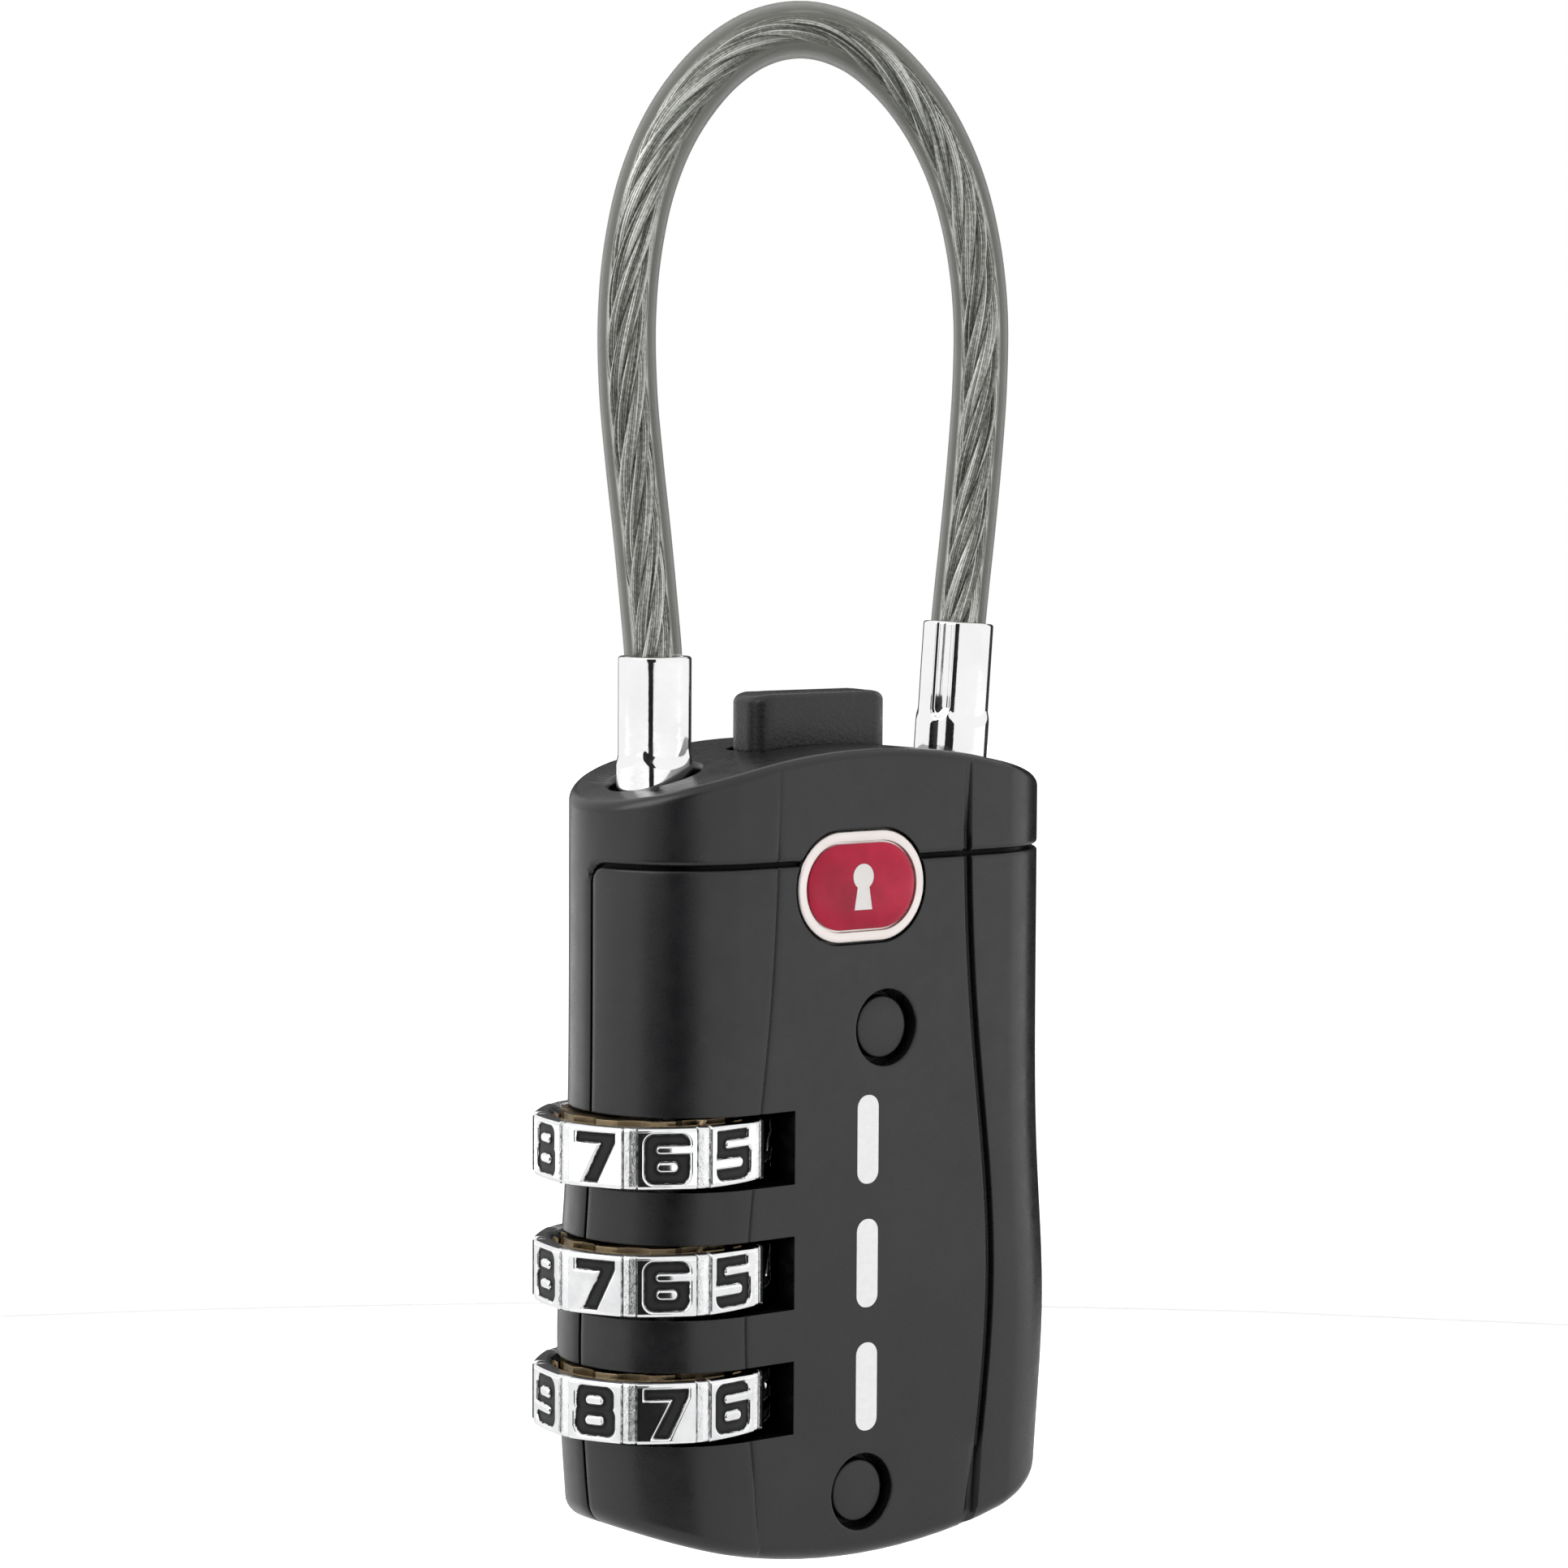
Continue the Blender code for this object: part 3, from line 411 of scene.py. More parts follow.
def rope_material():
    """Bright drawn wire, with greyer and brighter wires side by side."""
    m = Nodes("steel_rope")
    tone = m.math("ADD", m.carried("tone"), m.spread(m.noise(5200, 4), -0.15, 0.15))
    return m.finished({
        "Base Color": m.ramp(tone, (0.08, (0.05, 0.052, 0.046)), (0.45, (0.40, 0.41, 0.375)),
                             (0.72, (0.96, 0.96, 0.93))),
        "Metallic": 0.8,
        "Roughness": m.spread(tone, 0.45, 0.25, 0.1, 0.9),
    }, (m.noise(4000, 2), 0.3, 0.01 * MM))


def enamel_material():
    """Glassy red, deeper in places, with a fine sparkle in it."""
    m = Nodes("red_enamel")
    return m.finished({
        "Base Color": m.ramp(m.noise(330), (0.3, (0.33, 0.005, 0.028)),
                             (0.7, (0.55, 0.010, 0.050))),
        "Roughness": m.spread(m.noise(800, 2), 0.16, 0.26),
        "Specular IOR Level": 0.22,
        "Coat Weight": 0.1,
        "Coat Roughness": 0.06,
    }, (m.noise(2600, 2), 0.12, 0.01 * MM))


def dial_material():
    """Chrome with black ink in the digits and in the joints between the pads.

    The mesh carries two fields: ink is a distance, less than 0 inside the ink, and cast is how
    rough the casting is."""
    m = Nodes("dial_chrome")
    ink, smear = m.carried("ink"), m.noise(900, 5, 0.65)
    ragged = m.math("ADD", ink, m.spread(m.noise(3000, 3, 0.6), -0.03, 0.03))
    mask = m.spread(ragged, 1.0, 0.0, -0.055, -0.025)
    # Painted shade and highlight: the ink is black at its sunk edges and lighter grey towards its
    # middle, standing in for light falling into the sunk digits.
    painted_ink_shading = m.math("ADD", m.spread(ink, 0.8, 0.0, -0.30, -0.09), m.spread(smear, -0.15, 0.2))
    blend = m.add("ShaderNodeMix", data_type="RGBA")
    m.feed(blend, {
        "Factor": mask,
        "A": m.ramp(smear, (0.3, (0.80, 0.81, 0.82)), (0.7, (0.95, 0.95, 0.95))),
        "B": m.ramp(painted_ink_shading, (0.0, (0.002, 0.002, 0.002)), (1.0, (0.026, 0.026, 0.028))),
    })
    pits = m.math("MULTIPLY", m.noise(3600, 4, 0.7), m.carried("cast"))
    return m.finished({
        "Base Color": blend.outputs["Result"],
        "Metallic": m.math("SUBTRACT", 1.0, mask),
        "Roughness": m.math("ADD", m.spread(smear, 0.04, 0.10), m.math("MULTIPLY", mask, 0.40)),
        "Specular IOR Level": 0.2,
    }, (m.noise(420), 0.35, 0.025 * MM), (pits, 0.8, 0.05 * MM),
        (m.noise(2500), 0.15, 0.006 * MM))


# Mesh tools.


def soften(mesh, smooth):
    """Shades smooth, apart from edges past an angle in degrees."""
    mesh.shade_smooth()
    mesh.set_sharp_from_angle(angle=radians(smooth))


def mesh_object(name, shape, material=None, smooth=None, outward=False):
    """An object from a bmesh, which is freed. outward turns every face of a closed body out."""
    if outward:
        bmesh.ops.recalc_face_normals(shape, faces=shape.faces)
    mesh = bpy.data.meshes.new(name)
    shape.to_mesh(mesh)
    shape.free()
    obj = added(name, mesh)
    if material:
        mesh.materials.append(material)
    if smooth:
        soften(mesh, smooth)
    return obj


def carry(obj, name, values):
    """Gives the mesh's points a value each, for the materials."""
    field = obj.data.attributes.new(name, "FLOAT", "POINT")
    field.data.foreach_set("value", values.astype(np.float32))


def skin(shape, rings, closed=True, caps=True):
    """Faces between rings of bmesh vertices, and over the first and last ring."""
    for low, high in zip(rings, rings[1:]):
        count = len(low)
        for i in range(count if closed else count - 1):
            j = (i + 1) % count
            shape.faces.new((low[i], low[j], high[j], high[i]))
    if caps:
        shape.faces.new(list(reversed(rings[0])))
        shape.faces.new(rings[-1])


def loft(name, rings, material=None, smooth=None, at=None):
    """A closed body from rings of points, lowest first, each anticlockwise from above."""
    shape = bmesh.new()
    skin(shape, [[shape.verts.new(p) for p in ring] for ring in rings])
    if at is not None:
        bmesh.ops.transform(shape, matrix=at, verts=shape.verts)
    return mesh_object(name, shape, material, smooth)


def turned_rings(profile, steps=64):
    """Rings of a shape turned about Z, from (radius, height) points, lowest first."""
    angles = [tau * i / steps for i in range(steps)]
    return [[(r * cos(a), r * sin(a), z) for a in angles] for r, z in profile]


def turned(name, profile, material=None, smooth=35, at=None, steps=64):
    """A body turned about Z, from (radius, height) points, lowest first."""
    return loft(name, turned_rings(profile, steps), material, smooth, at)


def arc(centre, radius, start, end, steps):
    """Points along an arc, both ends included, angles in degrees."""
    angles = [start + (end - start) * i / steps for i in range(steps + 1)]
    return [(centre[0] + radius * cosd(a), centre[1] + radius * sind(a)) for a in angles]


def rounded_rectangle(width, height, radius, steps=8, centre=(0, 0)):
    """The outline of a rectangle with round corners, anticlockwise."""
    x, y = width / 2 - radius, height / 2 - radius
    outline = []
    for cx, cy, start in ((x, y, 0), (-x, y, 90), (-x, -y, 180), (x, -y, 270)):
        outline += arc((centre[0] + cx, centre[1] + cy), radius, start, start + 90, steps)
    return outline


def prism(name, outline, low, high, axis="Z"):
    """A flat outline, (x, y), (x, z) or (y, z), drawn out along an axis."""
    order = {"X": (2, 0, 1), "Y": (0, 2, 1), "Z": (0, 1, 2)}[axis]
    rings = [[[(*point, end)[i] for i in order] for point in outline] for end in (low, high)]
    obj = loft(name, rings)
    turn_out(obj)
    return obj


def box(name, low, high):
    """A plain box, to cut with."""
    outline = [(low[0], low[1]), (high[0], low[1]), (high[0], high[1]), (low[0], high[1])]
    return prism(name, outline, low[2], high[2])


def upright(name, radius, low, high, x, steps=64):
    """A plain upright cylinder in the middle plane, to cut with."""
    return turned(name, [(radius, low), (radius, high)], at=Matrix.Translation((x, 0, 0)),
                  steps=steps)


def turn_out(obj):
    """Makes every face of a closed body look out."""
    shape = bmesh.new()
    shape.from_mesh(obj.data)
    bmesh.ops.recalc_face_normals(shape, faces=shape.faces)
    shape.to_mesh(obj.data)
    shape.free()


def boolean(target, other, operation="DIFFERENCE"):
    """Cuts, joins or intersects, once the target is settled."""
    modifier = target.modifiers.new(other.name, "BOOLEAN")
    modifier.object = other
    modifier.operation = operation
    modifier.material_mode = "TRANSFER"


def settle(obj, helpers=(), smooth=None):
    """Applies an object's modifiers, and removes the helpers that they used."""
    bpy.context.view_layer.update()
    graph = bpy.context.evaluated_depsgraph_get()
    made = bpy.data.meshes.new_from_object(obj.evaluated_get(graph))
    obj.modifiers.clear()
    obj.data = made
    for helper in helpers:
        bpy.data.objects.remove(helper)
    if smooth:
        soften(made, smooth)
    return obj


def keep_flats_flat(obj):
    """Weights each corner's normal by its faces' areas, so that flats beside rounds stay flat."""
    modifier = obj.modifiers.new("weighted_normals", "WEIGHTED_NORMAL")
    modifier.keep_sharp = True
    modifier.weight = 100


def stand_in(obj, body, slot, *nodes):
    """The piece rides on the body, and takes the place of the nodes."""
    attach(obj, body)
    if nodes:
        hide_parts(*nodes)


# The cable: a clear jacket over a rope of six strands round a core, each many wires round a heart.


def smooth_route(steps):
    """Points on the Catmull-Rom curve through the route, steps to each span."""
    knots = [Vector((x * MM, 0, up(z * MM))) for x, z in CABLE_ROUTE]
    ends = [2 * knots[0] - knots[1]] + knots + [2 * knots[-1] - knots[-2]]
    points = []
    for a, b, c, d in zip(ends, ends[1:], ends[2:], ends[3:]):
        for i in range(steps):
            t = i / steps
            points.append(
                0.5 * (2 * b + t * (c - a) + t * t * (2 * a - 5 * b + 4 * c - d)
                       + t**3 * (3 * b - a - 3 * c + d))
            )
    return points + [knots[-1]]


def even_points(points, spacing):
    """The same line with points at even distances, and its length."""
    reach = [0.0]
    for a, b in zip(points, points[1:]):
        reach.append(reach[-1] + (b - a).length)
    count = round(reach[-1] / spacing)
    wanted = np.linspace(0, reach[-1], count + 1)
    columns = [np.interp(wanted, reach, [p[i] for p in points]) for i in range(3)]
    return [Vector(p) for p in zip(*columns)], reach[-1]


def headings(points):
    """The line's direction at each of its points."""
    ends = points[:1] + points + points[-1:]
    return [(after - before).normalized() for before, after in zip(ends, ends[2:])]


def along(points):
    """(point, sideways, level) frames at the points of a line in the middle plane."""
    level = Vector((0, 1, 0))
    return [(point, way.cross(level), level) for point, way in zip(points, headings(points))]


def wire_frames(points):
    """(point, sideways, level) frames of any line, with the sideways direction carried along it.

    They are of the other handedness than the frames of along()."""
    sideways = Vector((0, 1, 0))
    found = []
    for point, way in zip(points, headings(points)):
        sideways = (sideways - way * sideways.dot(way)).normalized()
        found.append((point, sideways, way.cross(sideways)))
    return found


def beside(frame, radius, angle):
    """The point at a radius and an angle round a frame's point."""
    point, sideways, level = frame
    return point + radius * (cos(angle) * sideways + sin(angle) * level)


def pipe(shape, frames, radius, sides, ends=True):
    """Adds a round wire along the frames to a bmesh."""
    rings = [[shape.verts.new(beside(frame, radius, tau * k / sides))
              for k in range(sides)] for frame in frames]
    skin(shape, rings, caps=ends)
    return rings


def nearest(points, place):
    """Distance from a place to the nearest of the points."""
    return min((p - place).length for p in points)


def twisted(frames, spacing, radius, lay, phase):
    """Points of a helix round a line.

    The same sign of lay turns one way on along() and the other way on wire_frames(), so a
    positive lay for both rope and wires leaves the wires nearly parallel to the cable."""
    return [beside(frame, radius, phase - tau * i * spacing / lay)
            for i, frame in enumerate(frames)]


def cable():
    """The jacket between the two ferrules, with the rope in it."""
    line, _ = even_points(smooth_route(12), 0.55 * MM)
    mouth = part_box("free_ferrule")[1][2] - JACKET_DEPTH
    lean = Vector((sin(FIXED_LEAN), 0, cos(FIXED_LEAN)))
    fixed_mouth = FIXED_PIVOT + lean * (FIXED_FERRULE_TOP - JACKET_DEPTH)
    shown = [p for p in line
             if (p.x < 0 and p.z > mouth) or (p.x >= 0 and (p - fixed_mouth).dot(lean) > 0)]

    shape = bmesh.new()
    frames = along(shown)
    outside = pipe(shape, frames, CABLE_RADIUS, 40, ends=False)
    inside = pipe(shape, frames, JACKET_BORE, 24, ends=False)
    for end in (0, -1):
        edges = [shape.edges.get((a, b)) for ring in (outside[end], inside[end])
                 for a, b in zip(ring, ring[1:] + ring[:1])]
        bmesh.ops.bridge_loops(shape, edges=edges)
    skin_look = jacket_material("clear_jacket", (0.0, 0.10), (0.22, 0.18), (0.27, 0.45),
                                (0.33, 0.92), (0.45, 0.78), (0.62, 0.6), (1.0, 0.7))
    jacket = mesh_object("cable_jacket_clear", shape, skin_look, 60, outward=True)
    jacket.data.materials.append(jacket_material("jacket_bore", (0.0, 0.02), (1.0, 0.03)))
    for face in jacket.data.polygons:
        face.material_index = int(nearest(shown, face.center) < (CABLE_RADIUS + JACKET_BORE) / 2)

    rope = rope_of_wires()

    start, end = (0.0105, 0, up(44 * MM)), (-0.0105, 0, up(44 * MM))
    for piece, slot, node in ((jacket, "clear_jacket", "cable_jacket"),
                              (rope, "steel_rope", "cable_core")):
        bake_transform(piece)
        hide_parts(node)


def rope_of_wires():
    """Strands round a core. Each wire carries its own tone, which drifts along it."""
    spacing = 0.5 * MM
    line, _ = even_points(smooth_route(12), spacing)
    frames = along(line)
    strand = ROPE_RADIUS / 3
    wire = strand / 6
    # The dark tone is painted shade: it goes on the hearts and the core, which fill the gaps
    # between the wires.
    sides, dark = 5, 0.1
    draw = np.random.default_rng(7)
    shape = bmesh.new()
    tones = []
    knots = np.arange(0, len(line) + 9, 6)
    for k in range(STRANDS):
        centre = twisted(frames, spacing, 2 * strand, ROPE_LAY, tau * k / STRANDS)
        own = wire_frames(centre)
        for j in range(WIRES):
            phase = tau * (j + 0.17 * k) / WIRES
            run = twisted(own, spacing, 5 * wire, WIRE_LAY, phase)
            pipe(shape, wire_frames(run), wire * 1.06, sides)
            drift = np.interp(np.arange(len(line)), knots, draw.normal(0, 0.11, len(knots)))
            tones.append(np.repeat(draw.normal(0.48, 0.16) + drift, sides))
        # Painted shade: each heart and the core take the near-black tone.
        heart = pipe(shape, own, wire * 4.4, 8)
        tones.append(np.full(len(heart) * 8, dark))
    core = pipe(shape, frames, strand * 1.1, 12)
    tones.append(np.full(len(core) * 12, dark))
    rope = mesh_object("cable_rope", shape, rope_material(), 80, outward=True)
    carry(rope, "tone", np.concatenate(tones))
    return rope


# The shells.


def bowed(z, rest, size, middle, reach):
    """A place at rest that bows out by size round a middle height."""
    return rest + size * exp(-(((z - middle) / reach) ** 2))


def half_width(z):
    """The body swells a little round the lower dials."""
    return bowed(z, HALF_WIDTH, *BULGE)


def crease(z):
    """The line on the left where the face's flat panel ends."""
    return bowed(z, -7 * MM, *CREASE_BOW)


def step(z):
    """The step on the right of the panel."""
    return bowed(z, 6.05 * MM, *STEP_BOW)


def crest(x):
    """Height of the body's top."""
    return CREST_TOP - DATUM - CREST_RADIUS + sqrt(CREST_RADIUS**2 - x**2)


def base(x):
    """Height of the body's base."""
    return BASE_LOW - DATUM + BASE_RADIUS - sqrt(BASE_RADIUS**2 - x**2)


def smoothstep(t):
    """An S-shaped way from 0 to 1."""
    t = min(max(t, 0.0), 1.0)
    return t * t * (3 - 2 * t)


# Columns of the mesh beside the crease and beside the step, in millimetres from each.
PANEL_LINES = (-0.5, -0.25, -0.1, 0.0, 0.08, 0.2, 0.5)
STEP_LINES = (-0.5, -0.12, -0.02, 0.02, 0.16, 0.32, 0.48, 0.55, 0.62, 0.76, 1.1)
TIP_STEPS = 26

# In millimetres: the crease's depth, and the groove's depth and the four lines across it where
# it starts, is full, fades and ends.
CREASE_DEPTH = 0.11
GROOVE_DEPTH = 0.38
GROOVE_LINES = (-0.02, 0.02, 0.48, 0.62)


def face_columns(z, inset):
    """(x, half depth) for each column of the plan, from the left tip to the right tip.

    Columns follow the crease and the step, so that both are modelled in the mesh."""
    depth = HALF_DEPTH - inset
    straight = half_width(z) - HALF_DEPTH
    tips = [(straight + depth * cosd(a), depth * sind(a))
            for a in [90 * (i / TIP_STEPS) ** 1.15 for i in range(TIP_STEPS - 1)]]
    left, right = crease(z), step(z)
    flats = [left + d * MM for d in PANEL_LINES] + [right + d * MM for d in STEP_LINES]
    low, high = left + PANEL_LINES[-1] * MM, right + STEP_LINES[0] * MM
    flats += [low + (high - low) * i / 10 for i in range(1, 10)]
    columns = [(-x, y) for x, y in tips]
    for x in sorted(flats):
        over = max(abs(x) - straight, 0)
        columns.append((x, sqrt(max(depth**2 - over**2, 0))))
    return columns + tips[::-1]


def crease_depth(x, z):
    """How far the front's crease and step go in at a point of the face."""
    fade = smoothstep((crest(x) - 1.3 * MM - z) / (3.2 * MM))
    fade *= smoothstep((z - base(x) + 0.1 * MM) / (0.5 * MM))
    depth = max(CREASE_DEPTH - abs(x - crease(z)) / MM, 0.0)
    across = (x - step(z)) / MM
    start, full, fading, end = GROOVE_LINES
    if start < across < end:
        depth += (GROOVE_DEPTH * min((across - start) / (full - start), 1)
                  * (1 - smoothstep((across - fading) / (end - fading))))
    return depth * fade * MM


def seam_distance(y, z):
    """Signed distance to the parting line between the shells: less than 0 is the front cover."""
    a = y + SEAM_CORNER
    b = z - (SEAM_HEIGHT - SEAM_CORNER)
    if a > 0 and b > 0:
        return hypot(a, b) - SEAM_CORNER
    return max(a, b) - SEAM_CORNER


def seam_fall(y, z):
    """How far the skin falls away beside the parting line."""
    signed = seam_distance(y, z)
    distance = abs(signed) - SEAM_GAP / 2
    radius = 0.26 * MM if signed > 0 else 0.14 * MM
    if distance >= radius:
        return 0.0
    near = radius - max(distance, 0.0)
    return radius - sqrt(max(radius**2 - near**2, 0.0))


def heights():
    """The body's rows: even, and closer beside the parting line and the slots' edges."""
    rows = list(np.linspace(-11.5, 24.0, 44))
    rows += [SEAM_HEIGHT / MM + offset for offset in (
        -0.9, -0.6, -0.4, -0.28, -0.2, -0.13, 0.0, 0.13, 0.2, 0.28, 0.38, 0.6)]
    kept = [min(rows)]
    for row in sorted(rows):
        if row - kept[-1] > 0.05:
            kept.append(row)
    return [row * MM for row in kept]


def body_form(name, inset=0.0, fine=True):
    """The body's outer form, or the plainer form that lies inset from it, up to the cap."""
    angles = range(0, 91, 15)
    base_round = BASE_ROUND if fine else 0.0
    rings = [[(x, y, base(x) + inset + drop)
              for x, y in face_columns(base(HALF_WIDTH), inset + base_round - rise)]
             for drop, rise in quarter_round(base_round, angles if fine else (0,))]
    rings += [[(x, y, z) for x, y in face_columns(z, inset)]
              for z in heights() if fine or z <= CAP_UNDERSIDE]
    if fine:
        rings += [[(x, y, crest(x) - CREST_ROUND + rise)
                   for x, y in face_columns(crest(HALF_WIDTH), more)]
                  for more, rise in quarter_round(CREST_ROUND, angles)]
    shape = bmesh.new()
    fronts, backs = [], []
    for ring in rings:
        last = len(ring) - 1
        front = [shape.verts.new(skin_point(x, -y, z, inset)) for x, y, z in ring]
        back = [f if i in (0, last) else shape.verts.new(skin_point(x, y, z, inset))
                for i, (f, (x, y, z)) in enumerate(zip(front, ring))]
        fronts.append(front)
        backs.append(back)
    for front, back in ((fronts[0], backs[0]), (fronts[-1], backs[-1])):
        for i in range(len(front) - 1):
            shape.faces.new(dict.fromkeys((front[i], front[i + 1], back[i + 1], back[i])))
    for front, back in zip(fronts, backs):
        front.extend(reversed(back[1:-1]))
    skin(shape, fronts, caps=False)
    return mesh_object(name, shape, outward=True)


def skin_point(x, y, z, inset):
    """A point of the outer form, with the crease, the step and the parting line worked in."""
    point = Vector((x, y, up(z)))
    if inset:
        return point
    straight = half_width(z) - HALF_DEPTH
    outward = Vector((max(abs(x) - straight, 0) * copysign(1, x), y, 0))
    if outward.length < 1e-6:
        return point
    fall = seam_fall(y, z)
    if y < 0 and abs(x) < straight + 1.5 * MM:
        fall += crease_depth(x, z)
    return point - outward.normalized() * fall


def cover_region(name, grow):
    """The space ahead of the parting line."""
    behind, top = grow - SEAM_GAP / 2, SEAM_HEIGHT + grow - SEAM_GAP / 2
    corner = SEAM_CORNER + grow - SEAM_GAP / 2
    outline = [(-FAR, up(-FAR)), (behind, up(-FAR))]
    outline += arc((behind - corner, up(top - corner)), corner, 0, 90, 16)
    outline.append((-FAR, up(top)))
    return prism(name, outline, -FAR, FAR, axis="X")


def inner_rooms():
    """The hollows that both shells share, as the frame has them."""
    hollow = body_form("inner_form", WALL, fine=False)
    bosses = [turned(f"{name}_boss", [(2.5 * MM, -FAR), (2.5 * MM, FAR)],
                     at=facing_front(x, 0, z)) for name, (x, z) in RIVETS.items()]
    rooms = []
    for name, left, low, high in (("mechanism_room", -FAR, 10.9 * MM, FAR),
                                  ("key_room", -3.9 * MM, -FAR, 11 * MM)):
        room = box(name, (left, -FAR, up(low)), (FAR, FAR, up(high)))
        boolean(room, hollow, "INTERSECT")
        for boss in bosses:
            boolean(room, boss)
        rooms.append(settle(room))
    for helper in [hollow] + bosses:
        bpy.data.objects.remove(helper)
    rooms += [upright(f"chamber_{name}", CHAMBER_RADIUS, *chamber_ends(z), DIAL_X, 96)
              for name, z in DIAL_Z.items()]
    rooms.append(upright("spindle_bore", 3.1 * MM, up(-9.8 * MM), up(11.5 * MM), DIAL_X))
    rooms.append(upright("spring_pocket", 2.4 * MM, up(-13.2 * MM), up(-9 * MM), DIAL_X))
    return rooms


def facing_front(x, y, z):
    """Puts a shape turned about Z with its top looking out of the face, at a point of it."""
    return Matrix.Translation((x, y, up(z))) @ Matrix.Rotation(radians(90), 4, "X")


def flared(radius, flare, depth, more=0.4 * MM):
    """The profile of a hole whose rim rounds over by flare: (radius, height), lowest first."""
    rim = [(radius + inset, rise - flare)
           for inset, rise in quarter_round(flare, range(0, 91, 10))]
    return [(radius, -depth)] + rim + [(radius + flare, more)]


def chamber_ends(z):
    return z - CHAMBER_HEIGHT / 2, z + CHAMBER_HEIGHT / 2


def slots(name, end, side):
    """The dials' slots, from the left up to an end, in front (side -1) or behind (side 1)."""
    made = []
    for dial, z in DIAL_Z.items():
        low, high = chamber_ends(z)
        made.append(box(f"{name}_{dial}", (-FAR, min(0, side * FAR), low),
                        (end, max(0, side * FAR), high)))
    return made


def badge_outline(inset, slack=0.02 * MM, steps=20):
    """The badge's outline, drawn in by inset. Its round ends stop slack short of half circles."""
    low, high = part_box("badge_plate")
    width, height = high[0] - low[0] - 2 * inset, high[2] - low[2] - 2 * inset
    return rounded_rectangle(width, height, height / 2 - slack, steps,
                             ((low[0] + high[0]) / 2, (low[2] + high[2]) / 2))


def shells():
    """The rear housing with the whole cap, the front cover, and a lip in painted shade.

    The lip belongs to the rear housing and closes the gap behind the parting line."""
    paint = black_paint("black_cast")
    # The inner paint is darker and less glossy: painted shade for the slots, the chambers, the
    # rooms and the lip behind the seam.
    inside = black_paint("inner_black_painted_shade", tone=0.4, edge=None, shine=0.06)
    front_only = slots("front_slot", SLOT_FRONT_END, -1)
    rear_only = slots("rear_slot", SLOT_REAR_END, 1)
    shared = inner_rooms()
    dark = shared + front_only + rear_only
    recess = prism("badge_recess", badge_outline(-0.15 * MM, 0.05 * MM, 16),
                   -FAR, -HALF_DEPTH + 0.45 * MM, axis="Y")
    shared += [recess, turned(
        "key_hole", flared(PLUG_RADIUS + 0.25 * MM, 0.25 * MM, 8 * MM),
        at=Matrix.Translation((KEY_X, 0, up(base(KEY_X)))) @ Matrix.Rotation(pi, 4, "X"))]
    rear_only += cap_cutters()
    for name, (x, z) in RIVETS.items():
        at = facing_front(x, -HALF_DEPTH, z)
        front_only.append(turned(f"{name}_hole", flared(2.17 * MM, 0.12 * MM, 1.8 * MM), at=at))
        shared.append(turned(f"{name}_bore", mm((1.55, -11.4), (1.55, -1.5)), at=at))
    # Faces cut by the slot, chamber and room cutters take the inner paint, painted shade inside
    # the hollows.
    for cut in shared + front_only + rear_only:
        cut.data.materials.append(inside if cut in dark else paint)
    regions = []
    for name, inset, limits, own, skin_paint, nodes in (
        ("rear_housing_shell", 0, (("cover_room", SEAM_GAP, "DIFFERENCE"),),
         rear_only, paint, ["rear_housing"]),
        ("front_cover_shell", 0, (("cover_space", 0, "INTERSECT"),),
         front_only, paint, ["front_cover"]),
        # The lip wears the inner paint, painted shade in the gap behind the parting line.
        ("seam_lip", LIP_INSET, (("lip_ahead", SEAM_GAP + LIP_OVERLAP, "INTERSECT"),
                                 ("lip_behind", -LIP_OVERLAP, "DIFFERENCE")),
         rear_only + front_only, inside, []),
    ):
        shell = body_form(name, inset, fine=not inset)
        shell.data.materials.append(skin_paint)
        for region, grow, operation in limits:
            regions.append(cover_region(region, grow))
            boolean(shell, regions[-1], operation)
        for cut in shared + own:
            boolean(shell, cut)
        settle(shell, smooth=34)
        keep_flats_flat(shell)
        stand_in(shell, "lock_body", "black_cast", *nodes)
    for helper in regions + shared + front_only + rear_only:
        bpy.data.objects.remove(helper)


def cap_cutters():
    """The cap's holes for the two legs and the button, their rims rounded over."""
    hole = rounded_rectangle(10.1 * MM, 3.7 * MM, 1.1 * MM)
    pocket = rounded_rectangle(11.2 * MM, 4.8 * MM, 1.3 * MM)
    made = [
        prism("button_hole", hole, up(CAP_UNDERSIDE - MM), up(FAR)),
        prism("button_pocket", pocket, up(CAP_UNDERSIDE - MM), up(FLANGE_TOP + 0.2 * MM)),
    ]
    for name, x in (("free_leg_hole", -LEG_X), ("fixed_leg_hole", FIXED_PIVOT.x)):
        made.append(upright(name, LEG_HOLE, up(CAP_UNDERSIDE - MM), up(FAR), x, 96))
        tilt = asin(x / CREST_RADIUS)
        rim = Matrix.Translation((x, 0, up(crest(x)))) @ Matrix.Rotation(tilt, 4, "Y")
        made.append(turned(f"{name}_rim", flared(LEG_HOLE - 0.02 * MM, 0.55 * MM, 0.9 * MM),
                           at=rim, steps=96))
    return made


def rivets():
    """The plugs in the cover's two holes, with a rounded rim and a nearly flat head."""
    for name, (x, z) in RIVETS.items():
        profile = mm((1.25, -9.2), (1.25, -0.01)) + [(RIVET_HEAD, 0)]
        profile += [(RIVET_HEAD - inset, 0.62 * MM + rise)
                    for inset, rise in quarter_round(0.16 * MM, range(0, 91, 15))]
        profile += mm((1.2, 0.80), (0.6, 0.82))
        rivet = turned(f"{name}_plug", profile, black_paint(f"{name}_paint", 0.02, 3800, 1.1),
                       at=facing_front(x, RIVET_SEAT, z))
        stand_in(rivet, "lock_body", "black_cast", name)


# Badge and index marks, both plain.


